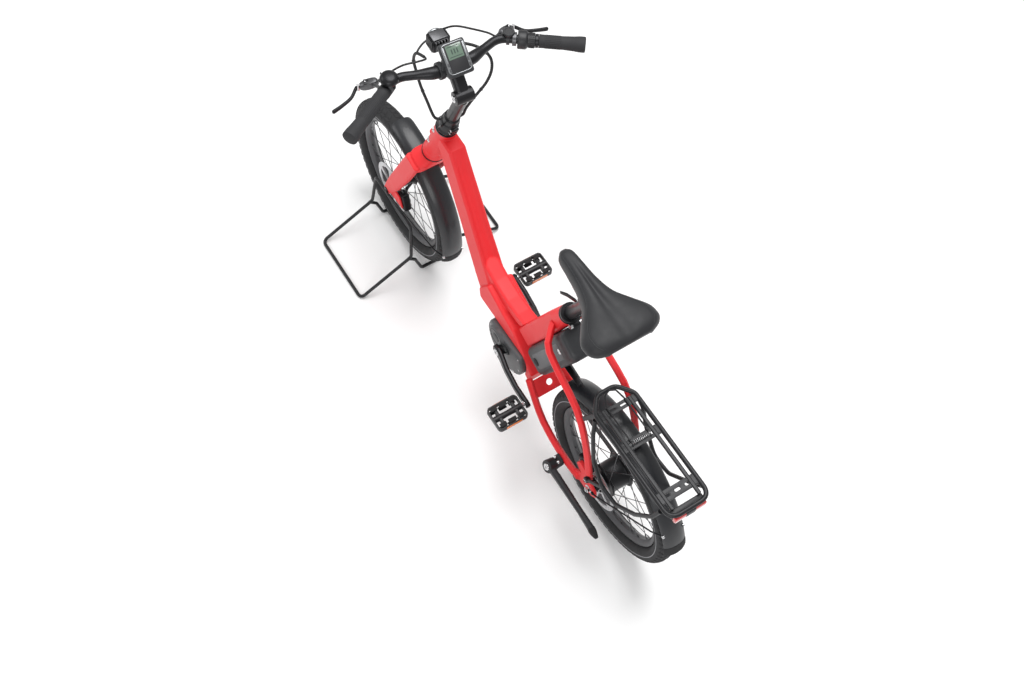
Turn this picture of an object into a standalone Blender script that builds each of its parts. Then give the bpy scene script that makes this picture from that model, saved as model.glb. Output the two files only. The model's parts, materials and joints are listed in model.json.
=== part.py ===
"""Step-through electric bicycle with 20 inch wheels, parked in a wire wheel stand.

The bicycle is drawn with its origin on the floor under the bottom bracket, +X forward,
+Y to the rider's left and +Z up. One empty then carries it so that the origin lies under
the middle of its outline. Everything on the fork hangs from the steering axis.
"""
import math

import bpy
import bmesh
from mathutils import Matrix, Vector

# Driving dimensions, metres
WHEEL_RADIUS = 0.260
WHEELBASE = 1.087
REAR_AXLE_X = -0.453
BOTTOM_BRACKET_HEIGHT = 0.2885
CRANK_LENGTH = 0.170
HEAD_TILT = math.radians(20.2)
FORK_OFFSET = 0.041
HUB_WIDTH_FRONT = 0.100
HUB_WIDTH_REAR = 0.135
GAP = 0.0003

FRONT_AXLE_X = REAR_AXLE_X + WHEELBASE
AXLE_REAR = Vector((REAR_AXLE_X, 0, WHEEL_RADIUS))
AXLE_FRONT = Vector((FRONT_AXLE_X, 0, WHEEL_RADIUS))
BRACKET = Vector((0, 0, BOTTOM_BRACKET_HEIGHT))
STEER_AXIS = Vector((-math.sin(HEAD_TILT), 0, math.cos(HEAD_TILT)))
STEER_AHEAD = Vector((math.cos(HEAD_TILT), 0, math.sin(HEAD_TILT)))
STEER_FOOT = AXLE_FRONT - FORK_OFFSET * STEER_AHEAD

SIDES = {"left": 1, "right": -1}


def start_empty_scene():
    for thing in list(bpy.data.objects):
        bpy.data.objects.remove(thing, do_unlink=True)


start_empty_scene()


# Materials

def finish(name, colour, roughness, metallic=0.0):
    material = bpy.data.materials.new(name)
    material.use_nodes = True
    shader = material.node_tree.nodes["Principled BSDF"]
    shader.inputs["Base Color"].default_value = (*colour, 1)
    shader.inputs["Roughness"].default_value = roughness
    shader.inputs["Metallic"].default_value = metallic
    return material


MATT_RED = finish("matt_red_paint", (0.87, 0.06, 0.055), 0.45)
SATIN_BLACK = finish("satin_black", (0.025, 0.026, 0.03), 0.45)
BLACK_METAL = finish("black_anodised", (0.03, 0.03, 0.033), 0.35, 0.7)
RUBBER = finish("rubber", (0.022, 0.022, 0.024), 0.8)
GREY_SHELL = finish("grey_shell", (0.12, 0.12, 0.125), 0.5)
DARK_SHELL = finish("dark_shell", (0.05, 0.05, 0.055), 0.5)
STEEL = finish("steel", (0.55, 0.55, 0.56), 0.3, 1.0)
SILVER = finish("silver_grey", (0.42, 0.43, 0.45), 0.4, 0.5)
SADDLE_COVER = finish("saddle_cover", (0.035, 0.037, 0.042), 0.6)
LAMP_RED = finish("lamp_red", (0.6, 0.02, 0.02), 0.2)


# Carriers: empties that turn or place whole groups

def carrier(name, place, parent=None):
    empty = bpy.data.objects.new(name, None)
    bpy.context.collection.objects.link(empty)
    empty.location = place
    if parent:
        hang(empty, parent)
    bpy.context.view_layer.update()
    return empty


def hang(thing, parent):
    bpy.context.view_layer.update()
    thing.parent = parent
    thing.matrix_parent_inverse = parent.matrix_world.inverted()


BIKE = carrier("bicycle", (0, 0, 0))
STEERING = carrier("steering_axis", STEER_FOOT, BIKE)
BARS = carrier("bar_clamp_axis", STEER_FOOT, STEERING)
FRONT_WHEEL = carrier("front_axle", AXLE_FRONT, STEERING)
REAR_WHEEL = carrier("rear_axle", AXLE_REAR, BIKE)
CRANKS = carrier("bottom_bracket_axis", BRACKET, BIKE)


# Shapes

def solid(name, rings, material, parent=BIKE, place=(0, 0, 0), closed=False, sharp=35):
    """A closed body from rings of points: open runs are capped, closed runs are joined round."""
    place = Vector(place)
    mesh = bpy.data.meshes.new(name)
    bm = bmesh.new()
    rows = [[bm.verts.new(Vector(p) - place) for p in ring] for ring in rings]
    count = len(rows[0])
    spans = len(rows) if closed else len(rows) - 1
    for i in range(spans):
        here, there = rows[i], rows[(i + 1) % len(rows)]
        for j in range(count):
            k = (j + 1) % count
            bm.faces.new((here[j], here[k], there[k], there[j]))
    if not closed:
        bm.faces.new(rows[0][::-1])
        bm.faces.new(rows[-1])
    bmesh.ops.recalc_face_normals(bm, faces=bm.faces)
    bm.to_mesh(mesh)
    bm.free()
    mesh.shade_smooth()
    mesh.set_sharp_from_angle(angle=math.radians(sharp))
    mesh.materials.append(material)
    thing = bpy.data.objects.new(name, mesh)
    bpy.context.collection.objects.link(thing)
    thing.location = place
    hang(thing, parent)
    return thing


def round_section(radius, sides=10):
    return [(radius * math.cos(t), radius * math.sin(t))
            for t in (2 * math.pi * i / sides for i in range(sides))]


def oblong_section(width, height, corner, steps=2):
    """A rectangle with round corners, width across and height up."""
    points = []
    for quarter in range(4):
        middle = math.radians(45 + 90 * quarter)
        across = math.copysign(width / 2 - corner, math.cos(middle))
        up = math.copysign(height / 2 - corner, math.sin(middle))
        for i in range(steps + 1):
            t = math.radians(90 * quarter + 90 * i / steps)
            points.append((across + corner * math.cos(t), up + corner * math.sin(t)))
    return points


def directions(path, closed):
    ahead = []
    last = len(path) - 1
    for i in range(len(path)):
        before = path[i - 1] if closed or i > 0 else path[i]
        after = path[(i + 1) % len(path)] if closed or i < last else path[i]
        ahead.append((after - before).normalized())
    return ahead


def sweep(path, section, side=(0, 1, 0), closed=False):
    """Rings of a section carried along a path; side is where the section's first axis points.

    section is one list of points, or one list for each point of the path.
    """
    path = [Vector(p) for p in path]
    ahead = directions(path, closed)
    side = Vector(side)
    side = (side - side.dot(ahead[0]) * ahead[0]).normalized()
    rings = []
    for i, point in enumerate(path):
        if i:
            side = ahead[i - 1].rotation_difference(ahead[i]) @ side
            side = (side - side.dot(ahead[i]) * ahead[i]).normalized()
        up = ahead[i].cross(side)
        flat = section[i] if isinstance(section[0][0], (tuple, list)) else section
        rings.append([point + a * side + b * up for a, b in flat])
    return rings


def bend(points, radius, steps=4, closed=False):
    """A path with its corners rounded to a bend radius, as a bent tube has."""
    points = [Vector(p) for p in points]
    last = len(points) - 1
    path = []
    for i, corner in enumerate(points):
        if not closed and i in (0, last):
            path.append(corner)
            continue
        to_last = (points[i - 1] - corner)
        to_next = (points[(i + 1) % len(points)] - corner)
        half = to_last.angle(to_next) / 2
        reach = min(radius / math.tan(half), 0.48 * to_last.length, 0.48 * to_next.length)
        start = corner + reach * to_last.normalized()
        end = corner + reach * to_next.normalized()
        for j in range(steps + 1):
            t = j / steps
            path.append((1 - t) ** 2 * start + 2 * t * (1 - t) * corner + t ** 2 * end)
    return path


def flow(points, steps=4):
    """A smooth curve through points, as a cable or a drawn tube runs."""
    points = [Vector(p) for p in points]
    path = []
    for i in range(len(points) - 1):
        p0 = points[max(i - 1, 0)]
        p1, p2 = points[i], points[i + 1]
        p3 = points[min(i + 2, len(points) - 1)]
        for j in range(steps):
            t = j / steps
            path.append(0.5 * (2 * p1 + (p2 - p0) * t + (2 * p0 - 5 * p1 + 4 * p2 - p3) * t ** 2
                               + (3 * p1 - p0 - 3 * p2 + p3) * t ** 3))
    path.append(points[-1])
    return path


def tube(name, path, radius, material, parent=BIKE, sides=10, closed=False, side=(0, 1, 0)):
    return solid(name, sweep(path, round_section(radius, sides), side, closed), material,
                 parent, closed=closed)


def turned(name, profile, centre, material, parent=BIKE, steps=48, axis=(0, 1, 0)):
    """A body turned about an axis: profile points are (radius, distance along the axis).

    A profile that starts and ends on the axis is a disc or rod; any other is a closed ring.
    """
    axis = Vector(axis).normalized()
    out = axis.orthogonal().normalized()
    centre = Vector(centre)
    spin = [Matrix.Rotation(2 * math.pi * i / steps, 3, axis) @ out for i in range(steps)]
    if profile[0][0] > 0:
        rings = [[centre + r * way + d * axis for r, d in profile] for way in spin]
        return solid(name, rings, material, parent, centre, closed=True)
    inner = profile[1:-1]
    rings = [[centre + r * way + d * axis for way in spin] for r, d in inner]
    return solid(name, rings, material, parent, centre)


def plate(name, outline, low, high, material, parent=BIKE, place=(0, 0, 0), edge=0.0):
    """A side-view outline of (x, z) points extruded across, from y = low to y = high."""
    rings = [[(x, y, z) for x, z in outline] for y in (low, high)]
    thing = solid(name, rings, material, parent, place)
    if edge:
        soften(thing, edge)
    return thing


def block(name, size, place, material, parent=BIKE, turn=None, edge=0.0, segments=2):
    """A box of a size centred on a place, turned by a rotation, with its edges rounded."""
    turn = turn or Matrix.Identity(3)
    x, y, z = (s / 2 for s in size)
    rings = [[Vector(place) + turn @ Vector((a, b, c)) for a, b in ((-x, -y), (x, -y), (x, y), (-x, y))]
             for c in (-z, z)]
    thing = solid(name, rings, material, parent, place)
    if edge:
        soften(thing, edge, segments)
    return thing


def soften(thing, width, segments=2):
    edge = thing.modifiers.new("rounded_edges", "BEVEL")
    edge.width = width
    edge.segments = segments
    edge.limit_method = "ANGLE"
    edge.angle_limit = math.radians(35)


def cutter(thing):
    thing.hide_render = True
    thing.display_type = "WIRE"
    return thing


def combine(thing, other, operation):
    cutter(other)
    step = thing.modifiers.new(operation.lower() + "_" + other.name, "BOOLEAN")
    step.operation = operation
    step.object = other
    return thing


def weld(thing, *others):
    for other in others:
        combine(thing, other, "UNION")
    return thing


def cut(thing, *others):
    for other in others:
        combine(thing, other, "DIFFERENCE")
    return thing


def shells(name, groups, material, parent):
    """One mesh of several closed shells, used only to weld to or cut from another body."""
    bm = bmesh.new()
    for rings in groups:
        rows = [[bm.verts.new(p) for p in ring] for ring in rings]
        count = len(rows[0])
        for here, there in zip(rows, rows[1:]):
            for j in range(count):
                k = (j + 1) % count
                bm.faces.new((here[j], here[k], there[k], there[j]))
        bm.faces.new(rows[0][::-1])
        bm.faces.new(rows[-1])
    bmesh.ops.recalc_face_normals(bm, faces=bm.faces)
    mesh = bpy.data.meshes.new(name)
    bm.to_mesh(mesh)
    bm.free()
    mesh.materials.append(material)
    thing = bpy.data.objects.new(name, mesh)
    bpy.context.collection.objects.link(thing)
    hang(thing, parent)
    return cutter(thing)


def on_steering(up, ahead=0.0, left=0.0):
    """A point given along the steering axis above its foot, ahead of it and to the left."""
    return STEER_FOOT + up * STEER_AXIS + ahead * STEER_AHEAD + Vector((0, left, 0))


def up_axis(height):
    """How far along the steering axis a height above the floor lies."""
    return (height - STEER_FOOT.z) / STEER_AXIS.z


def from_axle(axle, outline):
    """A side view outline that is given from an axle's middle."""
    return [(axle.x + a, axle.z + b) for a, b in outline]


# Wheels: tyre, laced wheel and brake disc

RIM_RADIUS = 0.209
RIM_DEPTH = 0.017
RIM_HALF_WIDTH = 0.0145
TYRE_HALF_WIDTH = 0.0285
SPOKES = 28
WHEEL_STEPS = 44
SPOKE_RADIUS = 0.0011
ROTOR_RADIUS = 0.080
ROTOR_BAND = 0.014
ROTOR_THICKNESS = 0.002


def tyre(name, axle, parent):
    seat = RIM_RADIUS + GAP
    middle = (seat + WHEEL_RADIUS) / 2
    rise = (WHEEL_RADIUS - seat) / 2
    start = math.asin(RIM_HALF_WIDTH / TYRE_HALF_WIDTH) - math.pi / 2
    count = 10
    profile = []
    for i in range(count + 1):
        t = start + (math.pi - 2 * start) * i / count
        flat = math.copysign(abs(math.sin(t)) ** 0.8, math.sin(t))
        profile.append((middle + rise * flat, TYRE_HALF_WIDTH * math.cos(t)))
    foot = max(seat, profile[0][0])
    if foot > seat:
        profile = [(seat, profile[0][1])] + profile + [(seat, profile[-1][1])]
    return turned(name, profile, axle, RUBBER, parent, WHEEL_STEPS)


def rim_profile():
    inner = RIM_RADIUS - RIM_DEPTH
    return [(RIM_RADIUS, -RIM_HALF_WIDTH), (RIM_RADIUS, RIM_HALF_WIDTH),
            (RIM_RADIUS - 0.009, RIM_HALF_WIDTH), (inner, 0.006), (inner, -0.006),
            (RIM_RADIUS - 0.009, -RIM_HALF_WIDTH)]


def spoke_shells(axle, flange_radius, flange_out, lean):
    """Spokes from both flanges to the rim, each leaning round its flange by a crossing angle."""
    groups = []
    reach = RIM_RADIUS - RIM_DEPTH + 0.003
    for i in range(SPOKES):
        side = 1 if i % 2 else -1
        turn = 2 * math.pi * i / SPOKES
        back = lean if (i // 2) % 2 else -lean
        inset = 0.0012 if (i // 2) % 2 else -0.0012
        foot = axle + Vector((flange_radius * math.cos(turn + back), side * (flange_out + inset),
                              flange_radius * math.sin(turn + back)))
        tip = axle + Vector((reach * math.cos(turn), side * 0.002, reach * math.sin(turn)))
        groups.append(sweep([foot, tip], round_section(SPOKE_RADIUS, 3)))
    return groups


def laced_wheel(name, axle, hub_profile, flange_radius, flange_out, lean, parent):
    hub = turned(name, hub_profile, axle, BLACK_METAL, parent, 20)
    rim = cutter(turned(name + "_rim_part", rim_profile(), axle, BLACK_METAL, parent, WHEEL_STEPS))
    lacing = shells(name + "_spoke_part", spoke_shells(axle, flange_radius, flange_out, lean),
                    STEEL, parent)
    return weld(hub, lacing, rim)


def rotor(name, axle, side_place, bore, parent):
    half = ROTOR_THICKNESS / 2
    centre = axle + Vector((0, side_place, 0))
    band = [(ROTOR_RADIUS, -half), (ROTOR_RADIUS, half),
            (ROTOR_RADIUS - ROTOR_BAND, half), (ROTOR_RADIUS - ROTOR_BAND, -half)]
    disc = turned(name, band, centre, STEEL, parent, 30)
    ring = turned(name + "_hub_part", [(bore + 0.010, -half), (bore + 0.010, half), (bore, half),
                                       (bore, -half)], centre, STEEL, parent, 20)
    arms = []
    for i in range(6):
        t = 2 * math.pi * i / 6
        start = bore + 0.006
        end = ROTOR_RADIUS - ROTOR_BAND + 0.004
        foot = centre + Vector((start * math.cos(t), 0, start * math.sin(t)))
        tip = centre + Vector((end * math.cos(t + 0.35), 0, end * math.sin(t + 0.35)))
        arms.append(sweep([foot, tip], oblong_section(ROTOR_THICKNESS * 0.9, 0.008, 0.0003, 1)))
    return weld(disc, shells(name + "_arm_part", arms, STEEL, parent), ring)


def hub_shape(shell, flange, flange_out, end, axle_radius=0.005, boss=0.011):
    """Half-section of a hub: axle end, boss, flange, shell and back out again."""
    half = [(0, end), (axle_radius, end), (axle_radius, end - 0.004), (boss, end - 0.004),
            (boss, flange_out + 0.006), (flange, flange_out + 0.0025),
            (flange, flange_out - 0.0025), (shell, flange_out - 0.006)]
    return [(r, -d) for r, d in half] + [(r, d) for r, d in reversed(half)]


FRONT_FLANGE_OUT = 0.028
REAR_FLANGE_OUT = 0.029
FRONT_ROTOR_Y = 0.0405
REAR_ROTOR_Y = 0.0520
CALIPER_SIZE = (0.034, 0.024, 0.060)

tyre("front_tyre", AXLE_FRONT, FRONT_WHEEL)
laced_wheel("front_wheel", AXLE_FRONT,
            hub_shape(0.015, 0.024, FRONT_FLANGE_OUT, HUB_WIDTH_FRONT / 2 - GAP),
            0.021, FRONT_FLANGE_OUT, 0.95, FRONT_WHEEL)
rotor("front_rotor", AXLE_FRONT, FRONT_ROTOR_Y, 0.011 + GAP, FRONT_WHEEL)
tyre("rear_tyre", AXLE_REAR, REAR_WHEEL)
laced_wheel("rear_wheel", AXLE_REAR,
            hub_shape(0.042, 0.050, REAR_FLANGE_OUT, HUB_WIDTH_REAR / 2 - GAP, 0.005, 0.017),
            0.047, REAR_FLANGE_OUT, 0.55, REAR_WHEEL)
rotor("rear_rotor", AXLE_REAR, REAR_ROTOR_Y, 0.017 + GAP, REAR_WHEEL)

# Belt drive: a pulley on the rear hub, one on the right crank and the belt round both

BELT_Y = -0.0525
BELT_WIDTH = 0.011
BELT_THICKNESS = 0.004
REAR_PULLEY_RADIUS = 0.035
FRONT_PULLEY_RADIUS = 0.077


def pulley_profile(radius, bore):
    half = BELT_WIDTH / 2 + 0.0015
    return [(bore, -half), (radius, -half), (radius, half), (bore, half)]


turned("rear_pulley", pulley_profile(REAR_PULLEY_RADIUS, 0.017 + GAP),
       AXLE_REAR + Vector((0, BELT_Y, 0)), BLACK_METAL, REAR_WHEEL, 24)


def belt_loop(grow):
    """The belt's side view at a distance outside both pulleys."""
    span = AXLE_REAR - BRACKET
    distance = math.hypot(span.x, span.z)
    slope = math.atan2(span.z, span.x)
    wrap = math.acos((FRONT_PULLEY_RADIUS - REAR_PULLEY_RADIUS) / distance)
    points = []
    count = 14
    for i in range(count + 1):
        t = slope + wrap + (2 * math.pi - 2 * wrap) * i / count
        reach = FRONT_PULLEY_RADIUS + grow
        points.append((BRACKET.x + reach * math.cos(t), BRACKET.z + reach * math.sin(t)))
    count = 8
    for i in range(count + 1):
        t = slope - wrap + 2 * wrap * i / count
        reach = REAR_PULLEY_RADIUS + grow
        points.append((AXLE_REAR.x + reach * math.cos(t), AXLE_REAR.z + reach * math.sin(t)))
    return points


def belt():
    inside = belt_loop(GAP * 4)
    outside = belt_loop(GAP * 4 + BELT_THICKNESS)
    low, high = BELT_Y - BELT_WIDTH / 2, BELT_Y + BELT_WIDTH / 2
    rings = [[(a[0], low, a[1]), (a[0], high, a[1]), (b[0], high, b[1]), (b[0], low, b[1])]
             for a, b in zip(inside, outside)]
    return solid("belt", rings, RUBBER, BIKE, closed=True)


belt()

# Main frame: head tube, beam with its trough, upper bar and motor cradle welded in one

HEAD_TOP = 0.803
HEAD_BOTTOM = 0.622
HEAD_RADIUS = 0.029
BEAM_FOOT_X = 0.094
BEAM_REACH = (STEER_FOOT.x - (HEAD_TOP - STEER_FOOT.z) * math.tan(HEAD_TILT)) - BEAM_FOOT_X
BEAM_STATIONS = [
    # share of the reach to the head, top z, depth, half width, trough depth
    (1.0050, 0.768, 0.074, 0.024, 0.0),
    (0.8229, 0.762, 0.080, 0.025, 0.004),
    (0.6947, 0.703, 0.084, 0.025, 0.010),
    (0.4148, 0.571, 0.088, 0.026, 0.012),
    (0.1889, 0.466, 0.090, 0.028, 0.012),
    (0.1282, 0.438, 0.090, 0.029, 0.004),
    (0.0, 0.378, 0.085, 0.031, 0.0),
]
BEAM_FALL = Vector((0.838, 0, -0.545)).normalized()


def beam_section(top, depth, half, trough):
    """A tall section with round corners; its upper face is hollowed to a trough."""
    corner = 0.010
    rim = half - 0.005
    level = Vector((0, 1, 0))
    points = [(rim, 0.0), (half, corner * 0.6), (half, depth - 1.6 * corner),
              (half - 0.7 * corner, depth - 0.4 * corner), (half - 1.6 * corner, depth)]
    points += [(-a, b) for a, b in reversed(points)]
    hollow = [(-0.55 * rim, 0.75 * trough), (0.0, trough), (0.55 * rim, 0.75 * trough)]
    return [top + a * level + b * BEAM_FALL for a, b in points + hollow]


def main_beam():
    rings = [beam_section(Vector((BEAM_FOOT_X + share * BEAM_REACH, 0, z)), depth, half, trough)
             for share, z, depth, half, trough in BEAM_STATIONS]
    return solid("main_frame", rings, MATT_RED, sharp=30)


def head_tube():
    low, high = up_axis(HEAD_BOTTOM), up_axis(HEAD_TOP)
    profile = [(0, low), (HEAD_RADIUS + 0.004, low), (HEAD_RADIUS + 0.004, low + 0.016),
               (HEAD_RADIUS, low + 0.035), (HEAD_RADIUS, high - 0.012),
               (HEAD_RADIUS - 0.001, high), (0, high)]
    return turned("head_tube_part", profile, STEER_FOOT, MATT_RED, BIKE, 28, STEER_AXIS)


SEAT_ANGLE = math.radians(67.2)
SEAT_UP = Vector((-math.cos(SEAT_ANGLE), 0, math.sin(SEAT_ANGLE)))
SEAT_BACK = Vector((-math.sin(SEAT_ANGLE), 0, -math.cos(SEAT_ANGLE)))
SEAT_TUBE_HALF_DEPTH = 0.029
SEAT_TUBE_HALF_WIDTH = 0.027
CRADLE_FLOOR = 0.335
UPPER_BAR_DEPTH = 0.036
UPPER_BAR_HALF_WIDTH = 0.024
BAR_JOINT_HEIGHT = 0.452


def on_seat(up, back=0.0, left=0.0):
    """A point up the seat tube's line from the bottom bracket, behind it and to the left."""
    return BRACKET + up * SEAT_UP + back * SEAT_BACK + Vector((0, left, 0))


def seat_front_x(height):
    """Where the plane just ahead of the seat tube's front face is, at a height."""
    ahead = SEAT_TUBE_HALF_DEPTH + GAP
    return -ahead * SEAT_BACK.x - (height - BRACKET.z + ahead * SEAT_BACK.z) / math.tan(SEAT_ANGLE)


def upper_bar():
    """The flat bar from the beam's rear face back to the seat tube."""
    rings = []
    for x, top in ((0.170, 0.478), (0.110, 0.456), (0.050, 0.446), (0.0, 0.447), (None, 0.452)):
        ring = []
        for across, up in oblong_section(2 * UPPER_BAR_HALF_WIDTH, UPPER_BAR_DEPTH, 0.008):
            z = top - UPPER_BAR_DEPTH / 2 + up
            ring.append((seat_front_x(z) if x is None else x, across, z))
        rings.append(ring)
    return solid("upper_bar_part", rings, MATT_RED)


CRADLE_HALF_WIDTH = 0.040
MOTOR_RADIUS = 0.086


def motor_cradle():
    """The welded shell over the motor; its rear leg comes down behind it to the chain stays."""
    reach = (MOTOR_RADIUS + GAP) / math.cos(math.radians(6.5))
    rear = [(-reach * math.cos(t), BRACKET.z + reach * math.sin(t))
            for t in (math.radians(d) for d in (32, 20, 8, -5, -18))]
    outline = [(0.158, 0.372), (0.152, CRADLE_FLOOR + 0.004), (0.140, CRADLE_FLOOR)]
    outline += [rear[0]] if rear[0][1] >= CRADLE_FLOOR else [(rear[0][0], CRADLE_FLOOR)]
    outline += rear[1:]
    outline += [(-0.106, 0.245), (-0.116, 0.300), (seat_front_x(0.392) - 0.050, 0.350),
                (seat_front_x(0.392), 0.392), (0.030, 0.404), (0.080, 0.425), (0.118, 0.440)]
    return plate("motor_cradle_part", outline, -CRADLE_HALF_WIDTH, CRADLE_HALF_WIDTH, MATT_RED,
                 edge=0.005)


weld(main_beam(), head_tube(), upper_bar(), motor_cradle())

# Seat tube with its bore, clamp, post and saddle

SEAT_TUBE_TOP = 0.455
SEAT_TUBE_FOOT = 0.118
POST_RADIUS = 0.0168
POST_IN_TUBE = 0.120
SADDLE_RAIL_RADIUS = 0.0035
SADDLE_RAIL_HEIGHT = 0.889
SADDLE_RAIL_Y = 0.021
POST_HEAD_RISE = 0.0067
POST_TOP = (SADDLE_RAIL_HEIGHT - SADDLE_RAIL_RADIUS - GAP - POST_HEAD_RISE - BRACKET.z) / SEAT_UP.z


def seat_tube_shape(name, grow=0.0):
    rings = []
    for up, half_depth, half_width, corner in (
            (SEAT_TUBE_FOOT, 0.029, 0.027, 0.008), (0.300, 0.029, 0.027, 0.008),
            (0.400, 0.027, 0.026, 0.012), (SEAT_TUBE_TOP, 0.024, 0.024, 0.0235)):
        section = oblong_section(2 * (half_width + grow), 2 * (half_depth + grow), corner + grow, 3)
        rings.append([on_seat(up, back, across) for across, back in section])
    return solid(name, rings, MATT_RED)


def seat_tube():
    tube_body = seat_tube_shape("seat_tube")
    foot = SEAT_TUBE_TOP - POST_IN_TUBE - GAP
    bore = turned("seat_tube_bore", [(0, foot), (POST_RADIUS + GAP, foot),
                                     (POST_RADIUS + GAP, SEAT_TUBE_TOP + 0.01),
                                     (0, SEAT_TUBE_TOP + 0.01)], BRACKET, MATT_RED, BIKE, 24, SEAT_UP)
    return cut(tube_body, cutter(bore))


seat_tube()
CLAMP_HEIGHT = 0.022
turned("seat_clamp", [(POST_RADIUS + GAP, SEAT_TUBE_TOP + GAP), (0.0255, SEAT_TUBE_TOP + GAP),
                      (0.0265, SEAT_TUBE_TOP + 0.004), (0.0265, SEAT_TUBE_TOP + CLAMP_HEIGHT - 0.004),
                      (0.0235, SEAT_TUBE_TOP + CLAMP_HEIGHT), (POST_RADIUS + GAP, SEAT_TUBE_TOP + CLAMP_HEIGHT)],
       BRACKET, BLACK_METAL, BIKE, 28, SEAT_UP)
post = turned("seat_post", [(0, SEAT_TUBE_TOP - POST_IN_TUBE), (POST_RADIUS, SEAT_TUBE_TOP - POST_IN_TUBE),
                     (POST_RADIUS, POST_TOP), (0, POST_TOP)], BRACKET, GREY_SHELL, BIKE, 24, SEAT_UP)
POST_HEAD_HEIGHT = 0.022
post_head = block("seat_post_head_part", (0.042, 0.056, POST_HEAD_HEIGHT),
                  (on_seat(POST_TOP).x, 0, SADDLE_RAIL_HEIGHT - SADDLE_RAIL_RADIUS - GAP
                   - POST_HEAD_HEIGHT / 2), GREY_SHELL)
weld(post, cutter(post_head))

SADDLE_TOP = SADDLE_RAIL_HEIGHT + 0.051
SADDLE_NOSE_X = -0.120
SADDLE_STATIONS = [
    # behind the nose, half width, crown height below the top, depth of the side, channel depth
    (0.000, 0.010, 0.016, 0.016, 0.0),
    (0.012, 0.019, 0.008, 0.030, 0.0),
    (0.050, 0.023, 0.003, 0.040, 0.002),
    (0.100, 0.029, 0.004, 0.044, 0.005),
    (0.145, 0.044, 0.005, 0.048, 0.006),
    (0.185, 0.074, 0.003, 0.050, 0.006),
    (0.218, 0.096, 0.000, 0.050, 0.006),
    (0.245, 0.098, 0.000, 0.044, 0.006),
    (0.263, 0.085, 0.004, 0.036, 0.005),
    (0.275, 0.060, 0.012, 0.020, 0.003),
]


def saddle():
    rings = []
    for behind, half, drop, depth, channel in SADDLE_STATIONS:
        crown = SADDLE_TOP - drop
        x = SADDLE_NOSE_X - behind
        right = []
        for share, fall in ((0.0, channel), (0.22, 0.15 * channel), (0.5, 0.03 * depth),
                            (0.8, 0.18 * depth), (0.95, 0.45 * depth), (1.0, 0.75 * depth),
                            (0.93, depth)):
            right.append((x, -share * half, crown - fall))
        left = [(px, -py, pz) for px, py, pz in reversed(right[1:])]
        rings.append(right + [(x, 0.0, crown - depth + 0.004)] + left)
    body = solid("saddle", rings, SADDLE_COVER, sharp=60)
    for side_name, side in SIDES.items():
        rail = [(-0.160, side * 0.012, SADDLE_RAIL_HEIGHT + 0.019),
                (-0.205, side * SADDLE_RAIL_Y, SADDLE_RAIL_HEIGHT),
                (-0.290, side * SADDLE_RAIL_Y, SADDLE_RAIL_HEIGHT),
                (-0.345, side * 0.030, SADDLE_RAIL_HEIGHT + 0.016)]
        weld(body, cutter(tube("saddle_rail_part_" + side_name, rail, SADDLE_RAIL_RADIUS, STEEL,
                               BIKE, 6)))
    return body


saddle()

# Battery, and the stays and dropouts that run past it

BATTERY_BACK = (SEAT_TUBE_HALF_DEPTH + GAP, 0.114)
BATTERY_SPAN = (0.128, 0.440)
BATTERY_HALF_WIDTH = 0.042


def battery_shape(name, grow=0.0):
    front, back = BATTERY_BACK
    low, high = BATTERY_SPAN
    rings = []
    for up, trim in ((low, 0.010), (low + 0.010, 0.0), (high - 0.020, 0.0), (high, 0.014)):
        depth = back - front - trim
        section = oblong_section(2 * (BATTERY_HALF_WIDTH - trim / 2 + grow), depth + 2 * grow, 0.018, 3)
        rings.append([on_seat(up, front + depth / 2 + b, a) for a, b in section])
    return solid(name, rings, DARK_SHELL)


DROPOUT_Y = HUB_WIDTH_REAR / 2
DROPOUT_THICKNESS = 0.008
# Outlines seen from the left, from the axle's middle
DROPOUT_OUTLINE = ((0.061, -0.024), (0.068, -0.008), (0.037, 0.030), (0.0245, 0.0712),
                   (0.0015, 0.0775), (0.001, 0.032), (-0.025, 0.016), (-0.029, -0.006),
                   (-0.013, -0.022), (0.023, -0.028))
REAR_TAB_OUTLINE = ((0.023, 0.040), (0.033, 0.028), (0.049, 0.030), (0.065, 0.046),
                    (0.055, 0.068), (0.026, 0.066))


def stay_path(points, side):
    return flow([(x, side * y, z) for x, y, z in points], 2)


SEAT_STAY_ROUTE = [(-0.146, 0.016, 0.650), (-0.186, 0.060, 0.632), (-0.222, 0.066, 0.604),
                   (-0.280, 0.068, 0.577), (-0.342, 0.071, 0.548), (-0.386, 0.0735, 0.494),
                   (-0.418, 0.0745, 0.415), (-0.440, 0.0745, 0.335)]
CHAIN_STAY_ROUTE = [(-0.1195, 0.050, 0.300), (-0.170, 0.058, 0.262), (-0.225, 0.0665, 0.240),
                    (-0.300, 0.0705, 0.226), (-0.366, 0.0735, 0.233), (-0.408, 0.0745, 0.246)]

for side_name, side in SIDES.items():
    path = stay_path(SEAT_STAY_ROUTE, side)
    tube_section = oblong_section(0.018, 0.024, 0.008, 1)
    seat_stay = solid("seat_stay_" + side_name, sweep(path, tube_section), MATT_RED)
    cut(seat_stay, cutter(seat_tube_shape("seat_tube_space_" + side_name, GAP)),
        cutter(battery_shape("battery_space_" + side_name, 0.001)))
    path = stay_path(CHAIN_STAY_ROUTE, side)
    tube_section = oblong_section(0.018, 0.026, 0.008, 1)
    stay = solid("chain_stay_" + side_name, sweep(path, tube_section), MATT_RED)
    inner = side * DROPOUT_Y
    outer = side * (DROPOUT_Y + DROPOUT_THICKNESS)
    dropout = plate("dropout_part_" + side_name, from_axle(AXLE_REAR, DROPOUT_OUTLINE),
                    min(inner, outer), max(inner, outer), MATT_RED)
    weld(stay, cutter(dropout))
    if side > 0:
        face = REAR_ROTOR_Y + CALIPER_SIZE[1] / 2 + GAP
        tab = plate("rear_caliper_tab_part", from_axle(AXLE_REAR, REAR_TAB_OUTLINE), face, outer,
                    MATT_RED)
        weld(stay, cutter(tab))


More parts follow.
